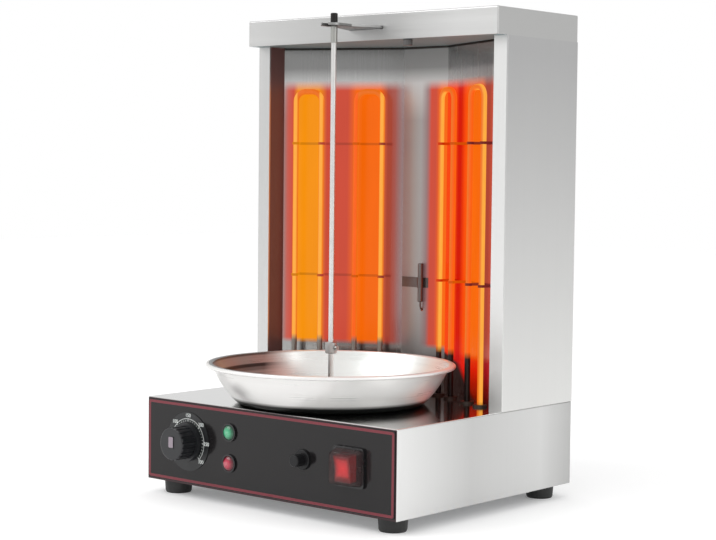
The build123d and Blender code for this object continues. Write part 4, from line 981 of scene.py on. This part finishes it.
def pan_outline(pan):
    """The pan's section as a closed line of (radius, height) pairs.

    The floor runs out to the heel, a bend and a bulged arc carry the wall up to the rim, and the rim
    rolls over into a bead. The inside is the same line, one wall thickness away.
    """
    wall, top, bead = pan.wall, pan.height, pan.bead_radius
    bead_centre = (pan.rim_radius - bead, top - bead)
    lip = np.array((pan.rim_radius - 7 * MM, top - wall))
    heel = np.array((pan.heel_radius, 0.0))
    chord = lip - heel
    length = np.linalg.norm(chord)
    outward = np.array((chord[1], -chord[0])) / length
    bulge = 3.5 * MM
    big = ((length / 2) ** 2 + bulge ** 2) / (2 * bulge)
    centre = (heel + lip) / 2 - outward * (big - bulge)
    # The wall's arc starts 3.3 degrees past the heel, which leaves room for the bend.
    start = math.degrees(math.atan2(heel[1] - centre[1], heel[0] - centre[0])) + 3.3
    end = math.degrees(math.atan2(lip[1] - centre[1], lip[0] - centre[0]))
    outer_wall = arc(centre, big, start, end, 36)
    inner_wall = arc(centre, big - wall, end, start, 36)
    flat_end = np.array((pan.heel_radius - 6 * MM, 0.0))
    inner_flat = flat_end + (0, wall)
    hub_in, hub_out = pan.hub_radius - wall, pan.hub_radius
    floor_out = np.stack((np.linspace(hub_in, flat_end[0], 24), np.zeros(24)), axis=-1)
    floor_in = np.stack((np.linspace(inner_flat[0], hub_out + 2 * MM, 24), np.full(24, wall)), axis=-1)
    shoulder = (
        (lip[0] + 0.6 * MM, top - 1.15 * wall), (bead_centre[0] - bead * 0.98, top - 1.1 * wall),
    )
    roll = arc(bead_centre, bead, 100, -190, 30)
    crest = ((bead_centre[0] - bead * 0.6, top - 0.02 * MM), (lip[0] - 0.4 * MM, top - 0.15 * MM))
    hub_foot = arc((hub_out + 2 * MM, wall + 2 * MM), 2 * MM, 270, 180, 6)
    hub_top = arc(((hub_in + hub_out) / 2, pan.hub_height - wall / 2), wall / 2, 0, 180, 8)
    return np.concatenate((
        floor_out, eased(flat_end, heel, outer_wall[0]), outer_wall, shoulder, roll[::-1], crest,
        inner_wall, eased(inner_wall[-1], heel + (-wall * 0.4, wall), inner_flat), floor_in,
        hub_foot, hub_top, ((hub_in, 0.4 * MM),),
    ))


class GRILL_OT_drip_pan(bpy.types.Operator):
    """The spun drip pan with its bulged wall, rolled rim and hub"""

    bl_idname = "grill.drip_pan"
    bl_label = "Drip pan"

    def execute(self, context):
        pan = context.scene.grill_pan
        look = (tuple(pan.colour), pan.roughness)
        piece = turned("drip_pan_shell", pan_outline(pan), (0, 0, box_of("drip_pan")[0][2]), steps=192)
        sharpen(piece, 50)
        place_piece(piece, spun_metal("pan_inside", *look, True), "pan", ("drip_pan",))
        mesh = piece.data
        mesh.materials.append(spun_metal("pan_outside", *look, False))
        # The outer finish goes on the faces more than 90 mm out that look away from the axis.
        centres, normals = np.zeros((2, 3 * len(mesh.polygons)))
        mesh.polygons.foreach_get("center", centres)
        mesh.polygons.foreach_get("normal", normals)
        centres, normals = centres.reshape(-1, 3)[:, :2], normals.reshape(-1, 3)[:, :2]
        outer = ((centres * normals).sum(axis=1) > 0) & (np.hypot(*centres.T) > 90 * MM)
        mesh.polygons.foreach_set("material_index", outer.astype(np.int32))
        return {"FINISHED"}


class GRILL_OT_spit(FinishRows, bpy.types.Operator):
    """The spit with its blackened end, sleeve, collar and drive socket"""

    bl_idname = "grill.spit"
    bl_label = "Spit and drive socket"
    rows = (
        (plain_metal, "polished_rod", linear(218, 217, 215), 0.3, {"grit": 1500.0}, ("spit_rod",)),
        (plain_metal, "blackened_steel", linear(52, 50, 50), 0.38, {"grit": 700.0}, ("spit_ferrule",)),
        (plain_metal, "zinc_plate", linear(168, 168, 164), 0.34, {"grit": 800.0},
         ("spit_sleeve", "collar_screw")),
        (plain_metal, "turned_steel", linear(176, 174, 172), 0.28, {"grit": 1100.0},
         ("spit_collar", "drive_socket")),
    )


class GRILL_OT_top_support(bpy.types.Operator):
    """The sliding arm at the spit's top, its rails and its thumb screw"""

    bl_idname = "grill.top_support"
    bl_label = "Top support"

    def execute(self, context):
        density = context.scene.grill_steel.line_density
        # The arm's steel is a darker copy of the body steel, and its underside darker still: painted shade.
        arm = brushed_steel("arm_steel", linear(160, 160, 159), 0.3, density, extra=arm_underside_painted_shade)
        cover(arm, "support_arm")
        cover(plain_metal("rail_steel", linear(140, 140, 142), 0.4, grit=400.0), "arm_rails")
        cover(plain_metal("screw_nickel", linear(112, 110, 109), 0.34, grit=1200.0), "thumb_screw")
        return {"FINISHED"}


def front_middle(node):
    """The middle of a CAD node's front face."""
    low, high = box_of(node)
    return np.array(((low[0] + high[0]) / 2, low[1], (low[2] + high[2]) / 2))


class GRILL_OT_panel(bpy.types.Operator):
    """The charcoal control panel and the red line round its edge"""

    bl_idname = "grill.panel"
    bl_label = "Control panel"

    def execute(self, context):
        controls = context.scene.grill_controls
        cover(glossy_panel("panel_gloss", tuple(controls.panel_colour)), "control_panel")
        low, high = box_of("control_panel")
        width, height = (high - low)[::2] - 2 * controls.border_inset
        points, faces = panel_frame(width, height, controls.border_width, 2.5 * MM, 0.08 * MM)
        piece = new_piece("panel_border_line", points + front_middle("control_panel"), faces, smooth=False)
        place_piece(piece, printed("border_ink", tuple(controls.border_colour)), "grill")
        return {"FINISHED"}


class GRILL_OT_thermostat(bpy.types.Operator):
    """The thermostat's dial with its printed scale, and the knob with its pale pointer"""

    bl_idname = "grill.thermostat"
    bl_label = "Thermostat dial and knob"

    def execute(self, context):
        controls = context.scene.grill_controls
        cover(moulded("dial_black", (0.009, 0.010, 0.011), 0.36, strength=0.03), "dial_ring")
        knob = moulded("knob_black", tuple(controls.knob_colour), 0.34, strength=0.05, Specular_IOR_Level=0.5)
        cover(knob, "thermostat_knob")
        centre = front_middle("dial_ring")
        ink = printed("scale_ink", tuple(controls.scale_colour))
        # Each row of prints: its radii, the width, the step in degrees and the print's thickness.
        points, faces = joined([
            ticks(centre, inner * MM, outer * MM, width * MM, np.arange(-135, 135.1, step), thickness * MM)
            for inner, outer, width, step, thickness in (
                (22.6, 25.2, 0.7, 45, 0.06), (22.6, 24.2, 0.4, 9, 0.05), (25.5, 26.0, 0.75, 1.5, 0.04),
            )
        ])
        place_piece(new_piece("dial_ticks", points, faces, smooth=False), ink, "grill")
        for step, angle in enumerate(range(-135, 136, 45)):
            text = str(50 * step)
            flat, faces = number_mesh(text, controls.number_size, 0.06 * MM)
            turn = math.radians(angle)
            place = centre + np.array((math.sin(turn), 0.0, math.cos(turn))) * controls.scale_radius
            piece = new_piece("dial_number_" + text, flat + place, faces, smooth=False, tidy=False)
            place_piece(piece, ink, "grill")
        points, faces = raised_pad(rounded_outline(7.0 * MM, 12.0 * MM, 1.4 * MM, count=6), 0.25 * MM)
        front = box_of("thermostat_knob")[0][1]
        place = np.array((centre[0], front + 0.02 * MM, centre[2] + 2.0 * MM))
        piece = new_piece("knob_pointer_inlay", points + place, faces)
        sharpen(piece, 30)
        inlay = moulded("pointer_white", tuple(controls.pointer_colour), 0.35, strength=0.02)
        place_piece(piece, inlay, "knob")
        return {"FINISHED"}


def lens_outline(radius, rise, seat):
    """A domed lens: an ellipse's quarter over a short straight seat, closed on the axis."""
    angle = np.radians(np.linspace(0, 90, 20))
    dome = np.stack((radius * np.cos(angle), -rise * np.sin(angle)), axis=-1)
    return np.concatenate((((0.0, seat), (radius, seat)), dome))


class GRILL_OT_lamps(bpy.types.Operator):
    """The green and the red lamp: black bezels with domed lenses"""

    bl_idname = "grill.lamps"
    bl_label = "Lamps"

    def execute(self, context):
        controls = context.scene.grill_controls
        bezels = moulded("lamp_bezel_black", tuple(controls.button_colour), 0.25)
        cover(bezels, "green_lamp_body", "red_lamp_body")
        rise = 4.5 * MM
        for colour, name in ((controls.green_colour, "green"), (controls.red_colour, "red")):
            node = name + "_lamp_lens"
            low, high = box_of(node)
            middle = (low + high) / 2
            radius = (high[0] - low[0]) / 2
            place = (middle[0], low[1] + rise, middle[2])
            outline = lens_outline(radius, rise, 0.3 * MM)
            piece = turned(name + "_lens_dome", outline, place, axis="Y", steps=64)
            sharpen(piece, 60)
            lens = lit_lens(name + "_lens_plastic", tuple(colour), 0.6, middle, (radius, radius))
            place_piece(piece, lens, "grill", (node,))
        return {"FINISHED"}


class GRILL_OT_button(bpy.types.Operator):
    """The black push button with its bezel and its coiled return spring

    The wire's centre line turns evenly about the button's axis while it runs evenly along it. Its rings
    lie across that line, in the direction away from the axis and along the axis.
    """

    bl_idname = "grill.button"
    bl_label = "Push button"

    def execute(self, context):
        black = tuple(context.scene.grill_controls.button_colour)
        plastic = moulded("button_black", black, 0.3, Specular_IOR_Level=0.25)
        cover(plastic, "button_body", "button_cap")
        low, high = box_of("button_spring")
        middle = (low + high) / 2
        turns, wire = 6, 0.42 * MM
        t = np.linspace(0, 1, 24 * turns + 1)
        angle = TURN * turns * t
        out = np.stack((np.cos(angle), np.zeros_like(angle), np.sin(angle)), axis=-1)
        path = middle + ((high[0] - low[0]) / 2 - wire) * out
        path[:, 1] = low[1] + wire + (high[1] - low[1] - 2 * wire) * t
        points, faces = ring_tube(path, out[:, None, :], np.array((0.0, 1.0, 0.0)), wire, 10)
        piece = new_piece("button_coil_spring", points, faces)
        spring = plain_metal("spring_steel", linear(150, 150, 152), 0.25)
        place_piece(piece, spring, "grill", ("button_spring",))
        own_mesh(piece)
        return {"FINISHED"}


class GRILL_OT_switch(bpy.types.Operator):
    """The lit red rocker switch under its clear hood"""

    bl_idname = "grill.switch"
    bl_label = "Power switch"

    def execute(self, context):
        controls = context.scene.grill_controls
        cover(moulded("switch_black", tuple(controls.button_colour), 0.22), "switch_frame")
        low, high = box_of("rocker")
        red = tuple(controls.rocker_colour)
        cover(lit_lens("rocker_red", red, 0.8, (low + high) / 2, (high - low)[::2] / 2, True), "rocker")
        cover(clear_hood("silicone_hood"), "switch_hood")
        return {"FINISHED"}


class GRILL_OT_feet(FinishRows, bpy.types.Operator):
    """The four black rubber feet"""

    bl_idname = "grill.feet"
    bl_label = "Feet"
    rows = (
        (moulded, "foot_rubber", (0.016, 0.016, 0.016), 0.55, {"grit": 900.0, "strength": 0.15},
         ("foot_front_left", "foot_front_right", "foot_rear_left", "foot_rear_right")),
    )


class GRILL_OT_inner_works(FinishRows, bpy.types.Operator):
    """The motor, thermostat body, sensor, terminal block and cord gland"""

    bl_idname = "grill.inner_works"
    bl_label = "Inner works"
    rows = (
        (plain_metal, "motor_zinc", linear(150, 152, 150), 0.36, {"grit": 300.0},
         ("motor_case", "motor_bracket")),
        (plain_metal, "shaft_steel", linear(186, 186, 188), 0.22, {}, ("motor_shaft", "thermostat_stem")),
        (plain_metal, "sintered_bronze", linear(150, 112, 70), 0.42, {"grit": 1200.0}, ("drive_bush",)),
        (moulded, "thermostat_case", linear(34, 33, 32), 0.45, {}, ("thermostat_body",)),
        (moulded, "terminal_nylon", linear(206, 202, 188), 0.45, {}, ("terminal_block",)),
        (moulded, "gland_nylon", linear(30, 30, 31), 0.4, {}, ("cable_gland", "gland_locknut")),
        (plain_metal, "sensor_grey", linear(112, 106, 104), 0.4, {}, ("sensor_bulb", "capillary_tube")),
        (plain_metal, "clip_steel", linear(104, 96, 94), 0.36, {}, ("bulb_clip",)),
    )


class GRILL_OT_fasteners(FinishRows, bpy.types.Operator):
    """The pan-head screws and the screws of the feet"""

    bl_idname = "grill.fasteners"
    bl_label = "Fasteners"
    rows = (
        (plain_metal, "screw_steel", linear(172, 172, 170), 0.3, {"grit": 1200.0},
         ("foot_screws", "housing_screws", "frame_screws")),
    )


def soft_light(name, place, aim, size, watts):
    """A rectangular soft light that looks from its place towards a point."""
    light = bpy.data.lights.new(name, "AREA")
    light.shape = "RECTANGLE"
    light.size, light.size_y = size
    light.energy = watts
    holder = bpy.data.objects.new(name, light)
    holder.location = place
    holder.rotation_euler = (Vector(aim) - Vector(place)).to_track_quat("-Z", "Y").to_euler()
    bpy.context.scene.collection.objects.link(holder)


def studio_world(level):
    """Even light all round. The camera sees white, and metal sees a pale studio with a soft horizon."""
    world = bpy.data.worlds.new("pale_studio")
    nodes = Nodes(world)
    direction = nodes.out("TexCoord", output="Generated")
    height = nodes.out("SeparateXYZ", {0: direction}, "Z").spread(0.0, 1.0, -1.0, 1.0)
    stops = ((0.0, 0.95), (0.47, 0.95), (0.52, 0.84), (0.62, 0.78), (0.80, 0.9), (1.0, 1.0))
    sky = nodes.ramp(height, [(place, (value,) * 3) for place, value in stops])[0]
    camera, glossy, through = (
        nodes.out("LightPath", output=f"Is {kind} Ray") for kind in ("Camera", "Glossy", "Transmission")
    )
    seen, mirrored, even = (
        nodes.out("Background", {"Color": colour, "Strength": strength})
        for colour, strength in (((1, 1, 1), 1.0), (sky, 1.0), ((1, 1, 1), level))
    )
    clear = nodes.maths("MAXIMUM", glossy, through)
    first = nodes.out("MixShader", {0: clear, 1: even, 2: mirrored})
    nodes.add("OutputWorld", {"Surface": nodes.out("MixShader", {0: camera, 1: first, 2: seen})})
    bpy.context.scene.world = world


def white_floor(colour, glow):
    """A lit matt floor that keeps its shadows, with white added for the rays that see it directly."""
    floor = bpy.data.materials.new("pale_floor")
    nodes = Nodes(floor)
    camera, glossy = (nodes.out("LightPath", output=f"Is {kind} Ray") for kind in ("Camera", "Glossy"))
    level = nodes.maths("MAXIMUM", camera, glossy) * glow
    matt = nodes.out("BsdfDiffuse", {"Color": colour})
    white = nodes.out("Emission", {"Color": (1, 1, 1), "Strength": level})
    nodes.add("OutputMaterial", {"Surface": nodes.out("AddShader", {0: matt, 1: white})})
    return floor


class GRILL_OT_stage(bpy.types.Operator):
    """The floor, the soft lights and the camera"""

    bl_idname = "grill.stage"
    bl_label = "Stage"

    def execute(self, context):
        stage = context.scene.grill_stage
        lines = np.linspace(-6.0, 6.0, 13)
        count = len(lines)
        points = np.stack(np.meshgrid(lines, lines, indexing="ij") + [np.zeros((count, count))], axis=-1)
        floor = new_piece("floor", points, grid_faces(count, count), smooth=False, tidy=False)
        floor.data.materials.append(white_floor(tuple(stage.floor_colour), stage.floor_glow))
        studio_world(stage.sky_level)
        soft_light("key_light", (-1.5, -2.2, 2.4), (0, 0, 0.25), (2.4, 2.0), stage.key_power)
        soft_light("side_light", (2.6, 0.4, 1.6), (0, 0, 0.25), (1.8, 1.8), stage.side_power)
        lens = bpy.data.cameras.new("camera")
        lens.lens = stage.lens
        lens.sensor_fit = "HORIZONTAL"
        lens.sensor_width = 36.0
        lens.clip_start = 0.05
        camera = bpy.data.objects.new("camera", lens)
        az, el = stage.azimuth, stage.elevation
        right = Vector((math.cos(az), math.sin(az), 0))
        back = Vector((math.sin(az) * math.cos(el), -math.cos(az) * math.cos(el), math.sin(el)))
        turn = Matrix((right, back.cross(right), back)).transposed() @ Matrix.Rotation(stage.roll, 3, "Z")
        camera.matrix_world = Matrix.Translation(Vector(stage.camera_place)) @ turn.to_4x4()
        context.scene.collection.objects.link(camera)
        context.scene.camera = camera
        context.scene.view_settings.view_transform = "Standard"
        return {"FINISHED"}


class GRILL_PT_pieces(bpy.types.Panel):
    """Lists the grill's pieces and settings in the sidebar"""

    bl_idname = "GRILL_PT_pieces"
    bl_label = "Kebab Grill"
    bl_space_type = "VIEW_3D"
    bl_region_type = "UI"
    bl_category = "Kebab Grill"

    def draw(self, context):
        layout = self.layout
        for group, title in SETTINGS.values():
            box = layout.box()
            box.label(text=title)
            settings = getattr(context.scene, group)
            for name in settings.bl_rna.properties.keys():
                if name not in ("rna_type", "name"):
                    box.prop(settings, name)
        column = layout.column(align=True)
        for operator in OPERATORS:
            column.operator(operator.bl_idname, text=operator.bl_label)


SETTINGS = {
    SteelSettings: ("grill_steel", "Sheet metal"),
    HeatSettings: ("grill_heat", "Heaters"),
    PanSettings: ("grill_pan", "Drip pan"),
    ControlSettings: ("grill_controls", "Controls"),
    StageSettings: ("grill_stage", "Stage"),
}

OPERATORS = (
    GRILL_OT_shells, GRILL_OT_reflectors, GRILL_OT_heaters, GRILL_OT_drip_pan, GRILL_OT_spit,
    GRILL_OT_top_support, GRILL_OT_panel, GRILL_OT_thermostat, GRILL_OT_lamps, GRILL_OT_button,
    GRILL_OT_switch, GRILL_OT_feet, GRILL_OT_inner_works, GRILL_OT_fasteners, GRILL_OT_stage,
)


def register():
    for settings, (group, title) in SETTINGS.items():
        bpy.utils.register_class(settings)
        setattr(bpy.types.Scene, group, bpy.props.PointerProperty(type=settings, name=title))
    for operator in OPERATORS:
        bpy.utils.register_class(operator)
    bpy.utils.register_class(GRILL_PT_pieces)


def unregister():
    bpy.utils.unregister_class(GRILL_PT_pieces)
    for operator in reversed(OPERATORS):
        bpy.utils.unregister_class(operator)
    for settings, (group, title) in reversed(SETTINGS.items()):
        delattr(bpy.types.Scene, group)
        bpy.utils.unregister_class(settings)


def main():
    register()
    for operator in OPERATORS:
        family, action = operator.bl_idname.split(".")
        getattr(getattr(bpy.ops, family), action)()


if __name__ == "__main__":
    main()
